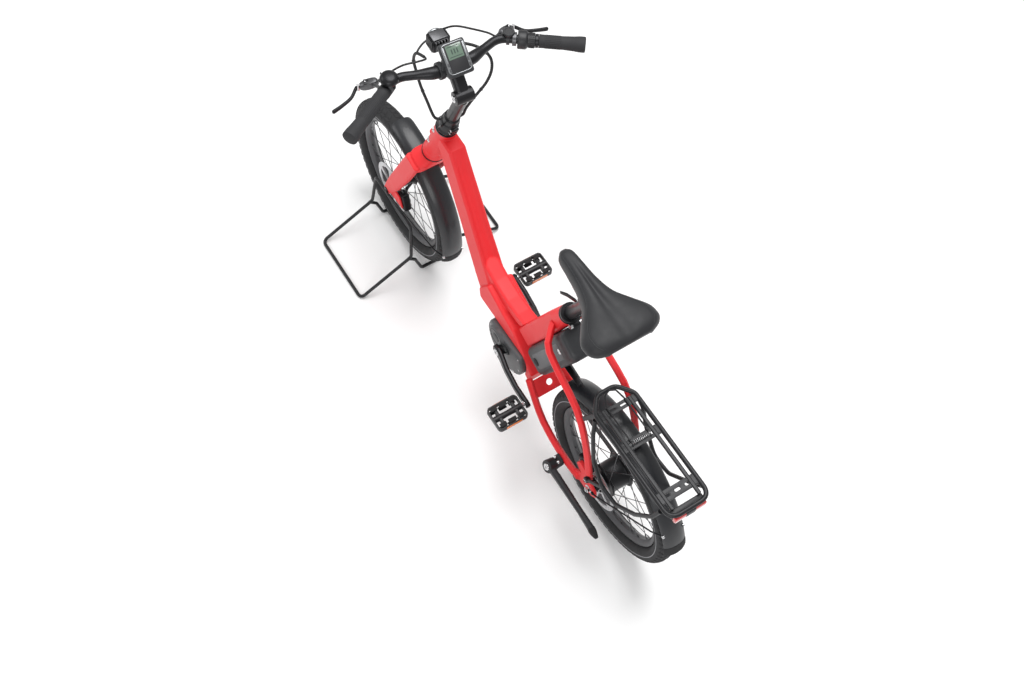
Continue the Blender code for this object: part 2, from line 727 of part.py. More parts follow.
def stay_plate():
    """The cross plate between the chain stays behind the motor."""
    rings = []
    for x, z in ((-0.127, 0.2945), (-0.146, 0.2800), (-0.165, 0.2655)):
        half = 0.0403 + 0.158 * (-0.1195 - x)
        rings.append([(x + a, y, z + b) for a, y, b in
                      ((-0.0013, -half, -0.0021), (-0.0013, half, -0.0021),
                       (0.0013, half, 0.0021), (0.0013, -half, 0.0021))])
    return solid("stay_plate", rings, MATT_RED)


stay_plate()

# Motor and battery

MOTOR_COVER_Y = 0.052
MOTOR_DISC_RISE = 0.006


def motor_outline(radius, ceiling):
    points = []
    edge = math.asin((ceiling - BRACKET.z) / radius)
    count = 20
    for i in range(count + 1):
        t = math.pi - edge + (math.pi + 2 * edge) * i / count
        points.append((radius * math.cos(t), BRACKET.z + radius * math.sin(t)))
    return points


motor = plate("motor", motor_outline(MOTOR_RADIUS, CRADLE_FLOOR - GAP), -0.036, MOTOR_COVER_Y,
              GREY_SHELL, edge=0.006)
stator_cover = turned("motor_cover_part", [(0, -0.02), (0.036, -0.02), (0.036, 0.003),
                                           (0.032, MOTOR_DISC_RISE), (0, MOTOR_DISC_RISE)],
                      (0.036, MOTOR_COVER_Y, 0.298), GREY_SHELL, BIKE, 24)
weld(motor, stator_cover)

battery_shape("battery_pack")

# Cranks and pedals

CRANK_ROOT_Y = 0.0645
CRANK_TIP_Y = 0.084
CRANK_THICKNESS = 0.014
PEDAL_SIZE = (0.074, 0.092, 0.024)
PEDAL_INNER_Y = 0.098


def crank_arm(side_name, ahead):
    """An arm from the bottom bracket to the pedal, curving outwards on the way."""
    side = SIDES[side_name]
    rings = []
    for share, half_height, out in ((-0.11, 0.010, 0.0), (-0.08, 0.016, 0.0), (0.0, 0.019, 0.0),
                                    (0.12, 0.017, 0.15), (0.35, 0.013, 0.6), (0.7, 0.0115, 0.95),
                                    (1.0, 0.0125, 1.0), (1.06, 0.010, 1.0), (1.08, 0.006, 1.0)):
        y = side * (CRANK_ROOT_Y + out * (CRANK_TIP_Y - CRANK_ROOT_Y) + CRANK_THICKNESS / 2)
        section = oblong_section(CRANK_THICKNESS, 2 * half_height, 0.004, 1)
        rings.append([(ahead * share * CRANK_LENGTH, y + a, BRACKET.z + b) for a, b in section])
    return solid("crank_" + side_name, rings, BLACK_METAL, CRANKS)


def pedal(side_name, ahead):
    side = SIDES[side_name]
    axle = BRACKET + Vector((ahead * CRANK_LENGTH, 0, 0))
    pivot = carrier("pedal_axis_" + side_name, axle, BIKE)
    length, width, height = PEDAL_SIZE
    middle = axle + Vector((0, side * (PEDAL_INNER_Y + 0.006 + width / 2), 0))
    body = block("pedal_" + side_name, (length, width, height), middle, SATIN_BLACK, pivot,
                 edge=0.003, segments=1)
    holes = []
    for away in (-1, 1):
        for across in (-1, 1):
            hole = middle + Vector((away * length * 0.24, side * across * width * 0.2, 0))
            section = oblong_section(width * 0.30, length * 0.26, 0.003, 1)
            holes.append(sweep([hole - Vector((0, 0, height)), hole + Vector((0, 0, height))],
                               section))
    cut(body, shells("pedal_holes_" + side_name, holes, SATIN_BLACK, pivot))
    start = side * (CRANK_TIP_Y + CRANK_THICKNESS + GAP)
    spindle = tube("pedal_spindle_part_" + side_name,
                   [axle + Vector((0, start, 0)), middle], 0.0065, STEEL, pivot, 10, side=(1, 0, 0))
    return weld(body, spindle)


crank_left = crank_arm("left", -1)
crank_right = crank_arm("right", 1)
for side_name, arm in (("left", crank_left), ("right", crank_right)):
    side = SIDES[side_name]
    inner = MOTOR_COVER_Y + MOTOR_DISC_RISE + 2 * GAP if side > 0 else -0.0365
    span = sorted((inner - BRACKET.y, side * (CRANK_ROOT_Y + 0.006)))
    boss = turned("crank_boss_part_" + side_name,
                  [(0, span[0]), (0.015, span[0]), (0.015, span[1]), (0, span[1])],
                  BRACKET, BLACK_METAL, CRANKS, 20)
    weld(arm, boss)
front_ring = turned("front_pulley", pulley_profile(FRONT_PULLEY_RADIUS, 0.060),
                    BRACKET + Vector((0, BELT_Y, 0)), BLACK_METAL, CRANKS, 36)
spider = []
for i in range(5):
    t = 2 * math.pi * i / 5
    foot = BRACKET + Vector((0.020 * math.cos(t), BELT_Y, 0.020 * math.sin(t)))
    tip = BRACKET + Vector((0.063 * math.cos(t), BELT_Y, 0.063 * math.sin(t)))
    spider.append(sweep([foot, tip], oblong_section(0.006, 0.016, 0.002, 1)))
spider_hub = turned("spider_hub_part", [(0.0153, BELT_Y - 0.004), (0.026, BELT_Y - 0.004),
                                        (0.026, BELT_Y + 0.004), (0.0153, BELT_Y + 0.004)],
                    BRACKET, BLACK_METAL, CRANKS, 20)
weld(front_ring, shells("spider_part", spider, BLACK_METAL, CRANKS), cutter(spider_hub))
for side_name, ahead in (("left", -1), ("right", 1)):
    pedal(side_name, ahead)

# Fork, fenders and brake calipers

CROWN_HEIGHT = 0.588
BLADE_Y = HUB_WIDTH_FRONT / 2 + GAP
STEERER_RADIUS = 0.0143


def fork():
    """Two wide flat blades welded to a crown block, with the steerer out of its top."""
    crown_low, crown_high = up_axis(CROWN_HEIGHT) - 0.020, up_axis(HEAD_BOTTOM) - GAP
    rings = []
    for up, half_depth, half_width in ((crown_low, 0.022, 0.052), (crown_low + 0.012, 0.030, 0.066),
                                       (crown_high - 0.014, 0.032, 0.058), (crown_high, 0.028, 0.030)):
        section = oblong_section(2 * half_width, 2 * half_depth, min(half_depth, half_width) * 0.6, 3)
        rings.append([on_steering(up, ahead, across) for across, ahead in section])
    crown = solid("fork", rings, MATT_RED, STEERING)
    tip = up_axis(WHEEL_RADIUS)
    for side_name, side in SIDES.items():
        blade = []
        for up, ahead, half_depth, thickness, out in (
                (crown_high - 0.020, 0.0, 0.028, 0.020, 0.0600), (0.250, 0.010, 0.028, 0.020, 0.0620),
                (0.120, 0.024, 0.025, 0.016, 0.0610), (0.030, 0.037, 0.019, 0.011, 0.0565),
                (-0.012, 0.042, 0.014, 0.010, 0.0555)):
            section = oblong_section(thickness, 2 * half_depth, thickness * 0.4)
            blade.append([on_steering(up, ahead + b, side * out + a) for a, b in section])
        weld(crown, cutter(solid("fork_blade_part_" + side_name, blade, MATT_RED, STEERING)))
    face = FRONT_ROTOR_Y + CALIPER_SIZE[1] / 2 + GAP
    corners = from_axle(AXLE_FRONT, ((-0.088, 0.008), (-0.016, 0.004), (-0.016, 0.060), (-0.074, 0.044)))
    tab = plate("fork_caliper_tab_part", corners, face, face + 0.006, MATT_RED, STEERING)
    return weld(crown, cutter(tab))


fork()

FENDER_RADIUS = 0.284
FENDER_HALF_WIDTH = 0.0325
FENDER_THICKNESS = 0.0025
FENDER_CROWN = 0.010
RACK_ABOVE_FENDER = 0.056
RACK_HEIGHT = WHEEL_RADIUS + FENDER_RADIUS + RACK_ABOVE_FENDER
RACK_BAR_THICKNESS = 0.0045


def fender(name, axle, start, end, parent, steps=18):
    """A curved guard: an arched strip bent round the wheel between two angles."""
    arch = []
    for i in range(5):
        share = -1 + 2 * i / 4
        arch.append((share * FENDER_HALF_WIDTH, -FENDER_CROWN * share ** 2 * abs(share) ** 0.5))
    outer = arch
    inner = [(a * 0.94, b - FENDER_THICKNESS) for a, b in reversed(arch)]
    section = outer + inner
    rings = []
    for i in range(steps + 1):
        t = math.radians(start + (end - start) * i / steps)
        out = Vector((math.cos(t), 0, math.sin(t)))
        rings.append([axle + (FENDER_RADIUS + b) * out + Vector((0, a, 0)) for a, b in section])
    return solid(name, rings, SATIN_BLACK, parent)


FENDER_STAY_RADIUS = 0.0022


def fender_point(axle, angle):
    """A point just under the fender's outer face, on its middle line."""
    t = math.radians(angle)
    return axle + (FENDER_RADIUS - 0.001) * Vector((math.cos(t), 0, math.sin(t)))


def strap(name, start, end, parent):
    """A flat strap, wide across the bicycle."""
    return cutter(solid(name, sweep([start, end], oblong_section(0.016, 0.003, 0.0005, 1)),
                        BLACK_METAL, parent))


def fender_stays(name, fender_body, axle, angle, foot_y, foot_lift, parent):
    """A wire each side, from beside the axle to the edge of the fender."""
    t = math.radians(angle)
    out = Vector((math.cos(t), 0, math.sin(t)))
    for side_name, side in SIDES.items():
        foot = axle + Vector((foot_lift * out.x, side * foot_y, foot_lift * out.z))
        knee = axle + (FENDER_RADIUS - 0.045) * out + Vector((0, side * (FENDER_HALF_WIDTH + 0.010), 0))
        tip = axle + (FENDER_RADIUS - 0.008) * out + Vector((0, side * (FENDER_HALF_WIDTH - 0.002), 0))
        eye = foot + 0.012 * out
        wire = tube(name + "_" + side_name, [foot, eye, knee, tip], FENDER_STAY_RADIUS, BLACK_METAL,
                    parent, 5, side=(0, 1, 0.3))
        weld(fender_body, cutter(wire))


front_guard = fender("front_fender", AXLE_FRONT, 88, 190, STEERING)
fender_stays("front_fender_wire", front_guard, AXLE_FRONT, 184, 0.0645, 0.008, STEERING)
front_top = fender_point(AXLE_FRONT, 116.0)
crown_foot = on_steering(up_axis(CROWN_HEIGHT) - 0.020 - GAP)
weld(front_guard, strap("front_fender_tab_part", front_top, crown_foot, STEERING))
rear_guard = fender("rear_fender", AXLE_REAR, 38, 163, BIKE, 22)
fender_stays("rear_fender_wire", rear_guard, AXLE_REAR, 150,
             DROPOUT_Y + DROPOUT_THICKNESS + GAP + FENDER_STAY_RADIUS, 0.022, BIKE)
rear_top = fender_point(AXLE_REAR, 100.6)
weld(rear_guard, strap("rear_fender_tab_part", rear_top,
                       Vector((rear_top.x, 0, RACK_HEIGHT - RACK_BAR_THICKNESS / 2 - GAP)), BIKE))
strut_end = on_seat(0.250, BATTERY_BACK[1] + 0.0009)
weld(rear_guard, strap("rear_fender_strut_part", fender_point(AXLE_REAR, 48.9), strut_end, BIKE))


def caliper(name, axle, angle, side_place, parent):
    t = math.radians(angle)
    reach = ROTOR_RADIUS - 0.006
    middle = axle + Vector((reach * math.cos(t), side_place, reach * math.sin(t)))
    turn = Matrix.Rotation(-t, 3, "Y")
    body = block(name, CALIPER_SIZE, middle, BLACK_METAL, parent, turn, edge=0.004)
    slot_size = (CALIPER_SIZE[0] + 0.02, ROTOR_THICKNESS + 0.0024, CALIPER_SIZE[2] + 0.02)
    slot_middle = middle - 0.017 * Vector((math.cos(t), 0, math.sin(t)))
    slot = block(name + "_slot", slot_size, slot_middle, BLACK_METAL, parent, turn)
    return cut(body, cutter(slot))


caliper("front_caliper", AXLE_FRONT, 165, FRONT_ROTOR_Y, STEERING)
caliper("rear_caliper", AXLE_REAR, 52, REAR_ROTOR_Y, BIKE)

# Riser, stem, handlebar and what is clamped to it

HEADSET_HEIGHT = 0.014
RISER_TOP = 0.985
RISER_RADIUS = 0.0165
CLAMP_BEHIND_AXLE = 0.262
CLAMP_POINT = Vector((FRONT_AXLE_X - CLAMP_BEHIND_AXLE, 0.0, 1.050))
BAR_RADIUS = 0.0155
BAR_TURN = math.radians(-3.4)
COLLAR_RADIUS = 0.024


def riser():
    low = up_axis(HEAD_TOP) + GAP
    high = up_axis(RISER_TOP)
    profile = [(0, low), (0.0275, low), (0.0275, low + 0.007), (COLLAR_RADIUS, low + HEADSET_HEIGHT),
               (COLLAR_RADIUS, low + 0.045), (RISER_RADIUS + 0.004, low + 0.050),
               (RISER_RADIUS + 0.004, low + 0.070), (RISER_RADIUS, low + 0.074),
               (RISER_RADIUS, high), (0, high)]
    return turned("stem_riser", profile, STEER_FOOT, BLACK_METAL, BARS, 24, STEER_AXIS)


def stem():
    """The tilting stem: a joint head on the riser, an arm, and the clamp round the bar."""
    joint = on_steering(up_axis(RISER_TOP + 0.016))
    head = turned("stem", [(0, -0.024), (0.018, -0.024), (0.018, 0.024), (0, 0.024)], joint,
                  BLACK_METAL, BARS, 24)
    section = oblong_section(0.034, 0.030, 0.009)
    arm = solid("stem_arm_part", sweep([joint, CLAMP_POINT], section), BLACK_METAL, BARS)
    clamp = turned("stem_clamp_part", [(0, -0.023), (0.0215, -0.023), (0.0215, 0.023), (0, 0.023)],
                   CLAMP_POINT, BLACK_METAL, BARS, 24)
    bore = turned("stem_bore", [(0, -0.04), (BAR_RADIUS + GAP, -0.04), (BAR_RADIUS + GAP, 0.04),
                                (0, 0.04)], CLAMP_POINT, BLACK_METAL, BARS, 20)
    foot = turned("stem_foot_cut", [(0, -0.02), (0.03, -0.02), (0.03, GAP), (0, GAP)],
                  on_steering(up_axis(RISER_TOP)), BLACK_METAL, BARS, 20, STEER_AXIS)
    weld(head, cutter(arm), cutter(clamp))
    return cut(head, cutter(bore), cutter(foot))


BAR_MIDDLE = 0.050


def from_clamp(ahead, left, up):
    """A point given from the middle of the stem's clamp."""
    return CLAMP_POINT + Vector((ahead, left, up))


KINK = from_clamp(0.028, 0.136, 0)
BAR_END = from_clamp(-0.084, 0.304, 0.006)
BAR_ALONG = (BAR_END - KINK).normalized()
TUBE_END_RADIUS = 0.0111
GRIP_FROM = 0.046
GRIP_BORE = TUBE_END_RADIUS + GAP


def mirrored(point, side):
    return Vector((point[0], side * point[1], point[2]))


def along_bar(distance, side, ahead=0.0, up=0.0):
    """A point on the straight end of the bar, a distance out from its kink."""
    across = BAR_ALONG.cross(Vector((0, 0, 1))).normalized()
    point = KINK + distance * BAR_ALONG + ahead * across + Vector((0, 0, up))
    return mirrored(point, side)


def bar_direction(side):
    return mirrored(BAR_ALONG, side)


def handlebar():
    half = [Vector((CLAMP_POINT.x, BAR_MIDDLE, CLAMP_POINT.z)), KINK, BAR_END]
    points = [mirrored(p, -1) for p in reversed(half)] + half
    path = bend(points, 0.05, 3)
    section = []
    for point in path:
        narrowed = min(1.0, max(0.0, abs(point.y) - BAR_MIDDLE + 0.001) / 0.04)
        radius = BAR_RADIUS + (TUBE_END_RADIUS - BAR_RADIUS) * narrowed
        section.append(round_section(radius, 12))
    return solid("handlebar", sweep(path, section, side=(0, 0, 1)), BLACK_METAL, BARS)


BAR_STRAIGHT = (BAR_END - KINK).length


def grip(side_name, start):
    """A grip over the bar's end, flared and closed at its outer end."""
    side = SIDES[side_name]
    end = BAR_STRAIGHT
    profile = [(0, end + GAP), (GRIP_BORE, end + GAP), (GRIP_BORE, start), (0.0160, start),
               (0.0172, start + 0.003), (0.0160, start + 0.012), (0.0158, end - 0.055),
               (0.0174, end - 0.022), (0.0188, end - 0.010), (0.0188, end + 0.003),
               (0.0150, end + 0.006), (0, end + 0.006)]
    return turned("grip_" + side_name, profile, mirrored(KINK, side), RUBBER, BARS, 16,
                  bar_direction(side))


def bar_ring(name, low, high, radius, side, material):
    bore = TUBE_END_RADIUS + GAP
    profile = [(bore, low), (radius, low), (radius, high), (bore, high)]
    return turned(name, profile, mirrored(KINK, side), material, BARS, 16, bar_direction(side))


LEVER_PIVOT = from_clamp(0.078, 0.206, -0.052)
LEVER_KNEE = from_clamp(0.06, 0.234, -0.06)
LEVER_TIP = from_clamp(0.047, 0.291, -0.064)
RESERVOIR_END = from_clamp(0.065, 0.163, -0.038)
PERCH_FROM = 0.034
PERCH_WIDTH = 0.010


def brake_lever(side_name):
    """The perch ring on the bar, the fluid reservoir ahead of it and the curved blade."""
    side = SIDES[side_name]
    ring = bar_ring("brake_lever_" + side_name, PERCH_FROM, PERCH_FROM + PERCH_WIDTH, 0.0165, side,
                    SILVER)
    middle = along_bar(PERCH_FROM + PERCH_WIDTH / 2, side)
    axis = bar_direction(side)
    ahead = mirrored(RESERVOIR_END, side) - middle
    ring_front = middle + 0.0152 * (ahead - ahead.dot(axis) * axis).normalized()
    neck_end = mirrored(RESERVOIR_END.lerp(LEVER_PIVOT, 0.35), side)
    neck = solid("perch_neck_part_" + side_name,
                 sweep([ring_front, neck_end], oblong_section(0.011, 0.009, 0.003, 1), (0, 0, 1)),
                 SILVER, BARS)
    body_path = [mirrored(RESERVOIR_END, side), mirrored(RESERVOIR_END.lerp(LEVER_PIVOT, 0.5), side),
                 mirrored(LEVER_PIVOT, side)]
    sections = [oblong_section(0.018, 0.016, 0.005), oblong_section(0.023, 0.021, 0.006),
                oblong_section(0.016, 0.014, 0.005)]
    reservoir = solid("reservoir_part_" + side_name, sweep(body_path, sections, (0, 0, 1)), SILVER,
                      BARS)
    blade_path = [LEVER_PIVOT.lerp(RESERVOIR_END, 0.12), LEVER_PIVOT + Vector((0.002, 0.006, 0)),
                  LEVER_KNEE + Vector((0.004, 0, 0)), LEVER_KNEE.lerp(LEVER_TIP, 0.5), LEVER_TIP]
    blade_path = flow([mirrored(p, side) for p in blade_path], 3)
    blade = solid("lever_blade_part_" + side_name,
                  sweep(blade_path, oblong_section(0.011, 0.0065, 0.002, 1), (0, 0, 1)),
                  BLACK_METAL, BARS)
    return weld(ring, cutter(neck), cutter(reservoir), cutter(blade))


BELL_FROM = 0.0238
BELL_RING_WIDTH = 0.0080
SHIFTER_FROM = 0.0465
SHIFTER_SLEEVE = 0.042


def bell():
    """A dome bell: a ring round the bar with a dome on top."""
    ring = bar_ring("bell", BELL_FROM, BELL_FROM + BELL_RING_WIDTH, 0.0160, 1, SATIN_BLACK)
    base = along_bar(BELL_FROM + BELL_RING_WIDTH / 2, 1, 0.0, 0.0180)
    dome = turned("bell_dome_part", [(0, -0.004), (0.0045, -0.004), (0.0045, 0.0), (0.0215, 0.001),
                                     (0.0225, 0.007), (0.018, 0.015), (0.010, 0.019), (0, 0.019)],
                  base, SATIN_BLACK, BARS, 20, (0, 0, 1))
    return weld(ring, cutter(dome))


def twist_shifter():
    low = SHIFTER_FROM
    bore = TUBE_END_RADIUS + GAP
    profile = [(bore, low), (0.0215, low), (0.0225, low + 0.004), (0.0225, low + 0.020),
               (0.0185, low + 0.024), (0.0180, low + SHIFTER_SLEEVE), (bore, low + SHIFTER_SLEEVE)]
    return turned("twist_shifter", profile, mirrored(KINK, -1), RUBBER, BARS, 24, bar_direction(-1))


DISPLAY_CENTRE = from_clamp(-0.012, 0, 0.038)
DISPLAY_SIZE = (0.082, 0.066, 0.018)
DISPLAY_TILT = math.radians(-38)
HOLDER_Y = 0.0345


def display():
    """The display's housing with two arms that ring the bar beside the stem clamp."""
    turn = Matrix.Rotation(DISPLAY_TILT, 3, "Y")
    body = block("display", DISPLAY_SIZE, DISPLAY_CENTRE, SILVER, BARS, turn, edge=0.005)
    bore = (BAR_RADIUS + GAP) / math.cos(math.pi / 12)
    for side_name, side in SIDES.items():
        low, high = sorted((side * (HOLDER_Y - 0.006), side * (HOLDER_Y + 0.006)))
        ring = turned("holder_ring_part_" + side_name,
                      [(bore, low), (bore + 0.005, low), (bore + 0.005, high), (bore, high)],
                      CLAMP_POINT, DARK_SHELL, BARS, 12)
        up = turn @ Vector((0, 0, 1))
        foot = CLAMP_POINT + Vector((0, side * HOLDER_Y, 0)) + (bore + 0.0048) * up
        top = DISPLAY_CENTRE + Vector((0, side * (DISPLAY_SIZE[1] / 2 - 0.006), 0)) - 0.006 * up
        arm = solid("holder_arm_part_" + side_name,
                    sweep([foot, top], oblong_section(0.009, 0.008, 0.002, 1), (1, 0, 0)),
                    DARK_SHELL, BARS)
        weld(body, cutter(ring), cutter(arm))
    return body


LAMP_CENTRE = from_clamp(0.078, 0, 0.008)
LAMP_SIZE = (0.044, 0.052, 0.044)


def headlamp():
    """The lamp housing with cooling ribs and the bracket back to the stem clamp."""
    body = block("headlamp", LAMP_SIZE, LAMP_CENTRE, SATIN_BLACK, BARS, edge=0.007)
    front = CLAMP_POINT + Vector((0.0215 + GAP, 0, 0.002))
    bracket = block("lamp_bracket_part", (0.050, 0.016, 0.008), front + Vector((0.025, 0, 0)),
                    SATIN_BLACK, BARS)
    return weld(body, cutter(bracket))


def cable(name, points, radius, parent, steps=3, sides=6):
    return tube(name, flow(points, steps), radius, RUBBER, parent, sides, side=(0, 0, 1))


def collar_port(height, ahead, left, out=COLLAR_RADIUS + 2 * GAP):
    """A point beside the steering collar, where a loom goes in."""
    return on_steering(up_axis(height), out * ahead, out * left)


def hose_port(side, out):
    """A point just outside the inner end of a brake reservoir, where its hose starts."""
    return mirrored(RESERVOIR_END + out * (RESERVOIR_END - LEVER_PIVOT).normalized(), side)


riser()
stem()
handlebar()
grip("left", GRIP_FROM)
grip("right", SHIFTER_FROM + SHIFTER_SLEEVE + GAP)
for side_name in SIDES:
    brake_lever(side_name)
bell()
twist_shifter()
display()
headlamp()

LOOM_RADIUS = 0.0038
HOSE_RADIUS = 0.0025
cable("loom_left",
      [from_clamp(*point) for point in
       ((0.068, 0.040, -0.020), (0.094, 0.048, -0.030), (0.102, 0.051, -0.060),
        (0.094, 0.048, -0.095), (0.078, 0.044, -0.135), (0.056, 0.037, -0.175))]
      + [collar_port(0.831, 0.653, 0.757, 0.040), collar_port(0.829, 0.653, 0.757)],
      LOOM_RADIUS, BARS)
cable("loom_right",
      [from_clamp(*point) for point in
       ((0.080, -0.034, -0.026), (0.078, -0.062, -0.032), (0.056, -0.098, -0.042),
        (0.030, -0.117, -0.058), (0.014, -0.116, -0.084), (0.004, -0.098, -0.114),
        (0.002, -0.066, -0.150), (0.005, -0.045, -0.185))]
      + [collar_port(0.836, 0.1, -0.995, 0.040), collar_port(0.834, 0.1, -0.995)],
      LOOM_RADIUS, BARS)
cable("brake_hose_left",
      [hose_port(1, 3 * GAP), hose_port(1, 0.016)]
      + [from_clamp(*point) for point in
         ((0.064, 0.130, -0.022), (0.060, 0.100, -0.010), (0.053, 0.065, -0.008),
          (0.056, 0.043, -0.014), (0.0664, 0.0396, -0.0194))],
      HOSE_RADIUS, BARS)
cable("brake_hose_right",
      [hose_port(-1, 3 * GAP), hose_port(-1, 0.016)]
      + [from_clamp(*point) for point in
         ((0.068, -0.130, -0.020), (0.078, -0.092, 0.002), (0.098, -0.062, 0.006),
          (0.112, -0.040, -0.004), (0.115, -0.012, -0.016), (0.111, 0.018, -0.024),
          (0.1037, 0.0345, -0.0278), (0.0969, 0.0440, -0.0298))],
      HOSE_RADIUS, BARS)

# Rear rack, its side hoops, spring clamp and tail lamp

RACK_TUBE = 0.0062
RACK_FRONT_X = -0.3555
RACK_REAR_X = -0.7075
RACK_HALF_WIDTH = 0.0580
RAIL_Y = 0.0390
HOOP_TUBE = 0.0055
HOOP_Y = DROPOUT_Y + DROPOUT_THICKNESS + GAP + HOOP_TUBE


def rack_top():
    corners = [(RACK_FRONT_X, -RACK_HALF_WIDTH * 0.45), (RACK_FRONT_X, RACK_HALF_WIDTH * 0.45),
               (RACK_FRONT_X - 0.040, RACK_HALF_WIDTH), (RACK_REAR_X, RACK_HALF_WIDTH),
               (RACK_REAR_X, -RACK_HALF_WIDTH), (RACK_FRONT_X - 0.040, -RACK_HALF_WIDTH)]
    path = bend([(x, y, RACK_HEIGHT) for x, y in corners], 0.030, 3, closed=True)
    rack = tube("rack_top", path, RACK_TUBE, BLACK_METAL, BIKE, 8, closed=True, side=(0, 0, 1))
    rails, bars, lugs = [], [], []
    for side in SIDES.values():
        rail = [(-0.398, side * RAIL_Y, RACK_HEIGHT), (-0.690, side * RAIL_Y, RACK_HEIGHT)]
        rails.append(sweep(rail, oblong_section(0.010, 0.008, 0.002, 1), (0, 1, 0)))
        lug = [(-0.398, side * 0.0575, RACK_HEIGHT), (-0.372, side * 0.0690, RACK_HEIGHT - 0.055)]
        lugs.append(sweep(lug, oblong_section(0.012, 0.006, 0.001, 1), (1, 0, 0)))
    for x, width in ((-0.408, 0.020), (-0.505, 0.026), (-0.655, 0.028)):
        bar = [(x, -RACK_HALF_WIDTH, RACK_HEIGHT), (x, RACK_HALF_WIDTH, RACK_HEIGHT)]
        bars.append(sweep(bar, oblong_section(width, RACK_BAR_THICKNESS, 0.001, 1), (1, 0, 0)))
    return weld(rack, shells("rack_bar_parts", bars, BLACK_METAL, BIKE),
                shells("rack_rail_parts", rails, BLACK_METAL, BIKE),
                shells("rack_lug_parts", lugs, BLACK_METAL, BIKE))


rack_top()

HOOP_ROUTE = [(-0.404, 0.0625, RACK_HEIGHT - 0.013), (-0.420, 0.074, RACK_HEIGHT - 0.055),
              (-0.449, HOOP_Y, 0.455), (-0.500, HOOP_Y, 0.384), (-0.560, HOOP_Y, 0.392),
              (-0.625, HOOP_Y, 0.475), (-0.668, 0.074, RACK_HEIGHT - 0.050),
              (-0.676, 0.0625, RACK_HEIGHT - 0.013)]


def rack_hoop(side_name):
    """The side hoop that carries the rack and keeps bags off the wheel, with its lower leg."""
    side = SIDES[side_name]
    path = bend([(x, side * y, z) for x, y, z in HOOP_ROUTE], 0.035, 2)
    hoop = tube("rack_hoop_" + side_name, path, HOOP_TUBE, BLACK_METAL, BIKE, 7)
    leg = tube("hoop_leg_part_" + side_name,
               [(-0.505, side * HOOP_Y, 0.388), (-0.444, side * HOOP_Y, 0.312)], HOOP_TUBE,
               BLACK_METAL, BIKE, 7)
    return weld(hoop, cutter(leg))


for side_name in SIDES:
    rack_hoop(side_name)

CLAMP_WIRE = 0.0022
clamp_z = RACK_HEIGHT + RACK_BAR_THICKNESS / 2 + CLAMP_WIRE + GAP
clamp_route = [(-0.512, 0.026, clamp_z), (-0.396, 0.026, clamp_z), (-0.372, 0.016, clamp_z + 0.012),
               (-0.366, 0.0, clamp_z + 0.016), (-0.372, -0.016, clamp_z + 0.012),
               (-0.396, -0.026, clamp_z), (-0.512, -0.026, clamp_z)]
tube("rack_spring_clamp", bend(clamp_route, 0.008, 1), CLAMP_WIRE, BLACK_METAL, BIKE, 5,
     side=(0, 0, 1))
block("tail_lamp", (0.028, 0.094, 0.026), (RACK_REAR_X + 0.006, 0, RACK_HEIGHT - RACK_TUBE - 0.0134),
      LAMP_RED, edge=0.004)

# Kickstand: stowed it points back beside the wheel, and swings down and outwards

KICKSTAND_PIVOT = Vector((-0.335, 0.118, 0.225))
KICKSTAND_LENGTH = 0.235
KICKSTAND_FOOT_Y = 0.0818
KICKSTAND_SPLAY = math.radians(20)
KICKSTAND_AXIS = Vector((0, -math.cos(KICKSTAND_SPLAY), -math.sin(KICKSTAND_SPLAY)))
KICKSTAND = carrier("kickstand_pivot", KICKSTAND_PIVOT, BIKE)


def kickstand():
    head = turned("kickstand", [(0, -0.014), (0.019, -0.014), (0.019, 0.010), (0, 0.010)],
                  KICKSTAND_PIVOT, DARK_SHELL, KICKSTAND, 24, -KICKSTAND_AXIS)
    path = [KICKSTAND_PIVOT + Vector((-d, up_out, up_out * 0.2)) for d, up_out in
            ((0.0, 0.0), (0.04, 0.0), (0.15, 0.002), (0.205, 0.004), (KICKSTAND_LENGTH, 0.006))]
    sections = [oblong_section(0.018, 0.024, 0.005), oblong_section(0.018, 0.022, 0.005),
                oblong_section(0.016, 0.018, 0.005), oblong_section(0.018, 0.022, 0.005),
                oblong_section(0.008, 0.008, 0.002)]
    leg = solid("kickstand_leg_part", sweep(path, sections), DARK_SHELL, KICKSTAND)
    return weld(head, cutter(leg))


def kickstand_mount():
    """The plate bolted to the left chain stay that carries the kickstand's head."""
    end = KICKSTAND_PIVOT + (0.014 + GAP) * KICKSTAND_AXIS
    rise = Vector((1, 0, 0)).cross(-KICKSTAND_AXIS)
    section = oblong_section(0.032, 0.026, 0.006, 1)
    foot_ring = [(KICKSTAND_PIVOT.x + a, KICKSTAND_FOOT_Y - 0.0455 * a, 0.227 + b) for a, b in section]
    end_ring = [end + Vector((a, 0, 0)) + b * rise for a, b in section]
    return solid("kickstand_mount", [foot_ring, end_ring], DARK_SHELL)


kickstand()
kickstand_mount()

# Wheel stand: a bent wire each side of the front wheel, joined under the tyre

STAND_WIRE = 0.005
STAND_FRONT_X = FRONT_AXLE_X + 0.0885
STAND_REAR_X = FRONT_AXLE_X - 0.148
STAND_HALF_WIDTH = 0.247
STAND_HIP = (0.068, 0.095)
STAND_HOOP_Y = 0.0565
STAND_HOOP_TOP = 0.232


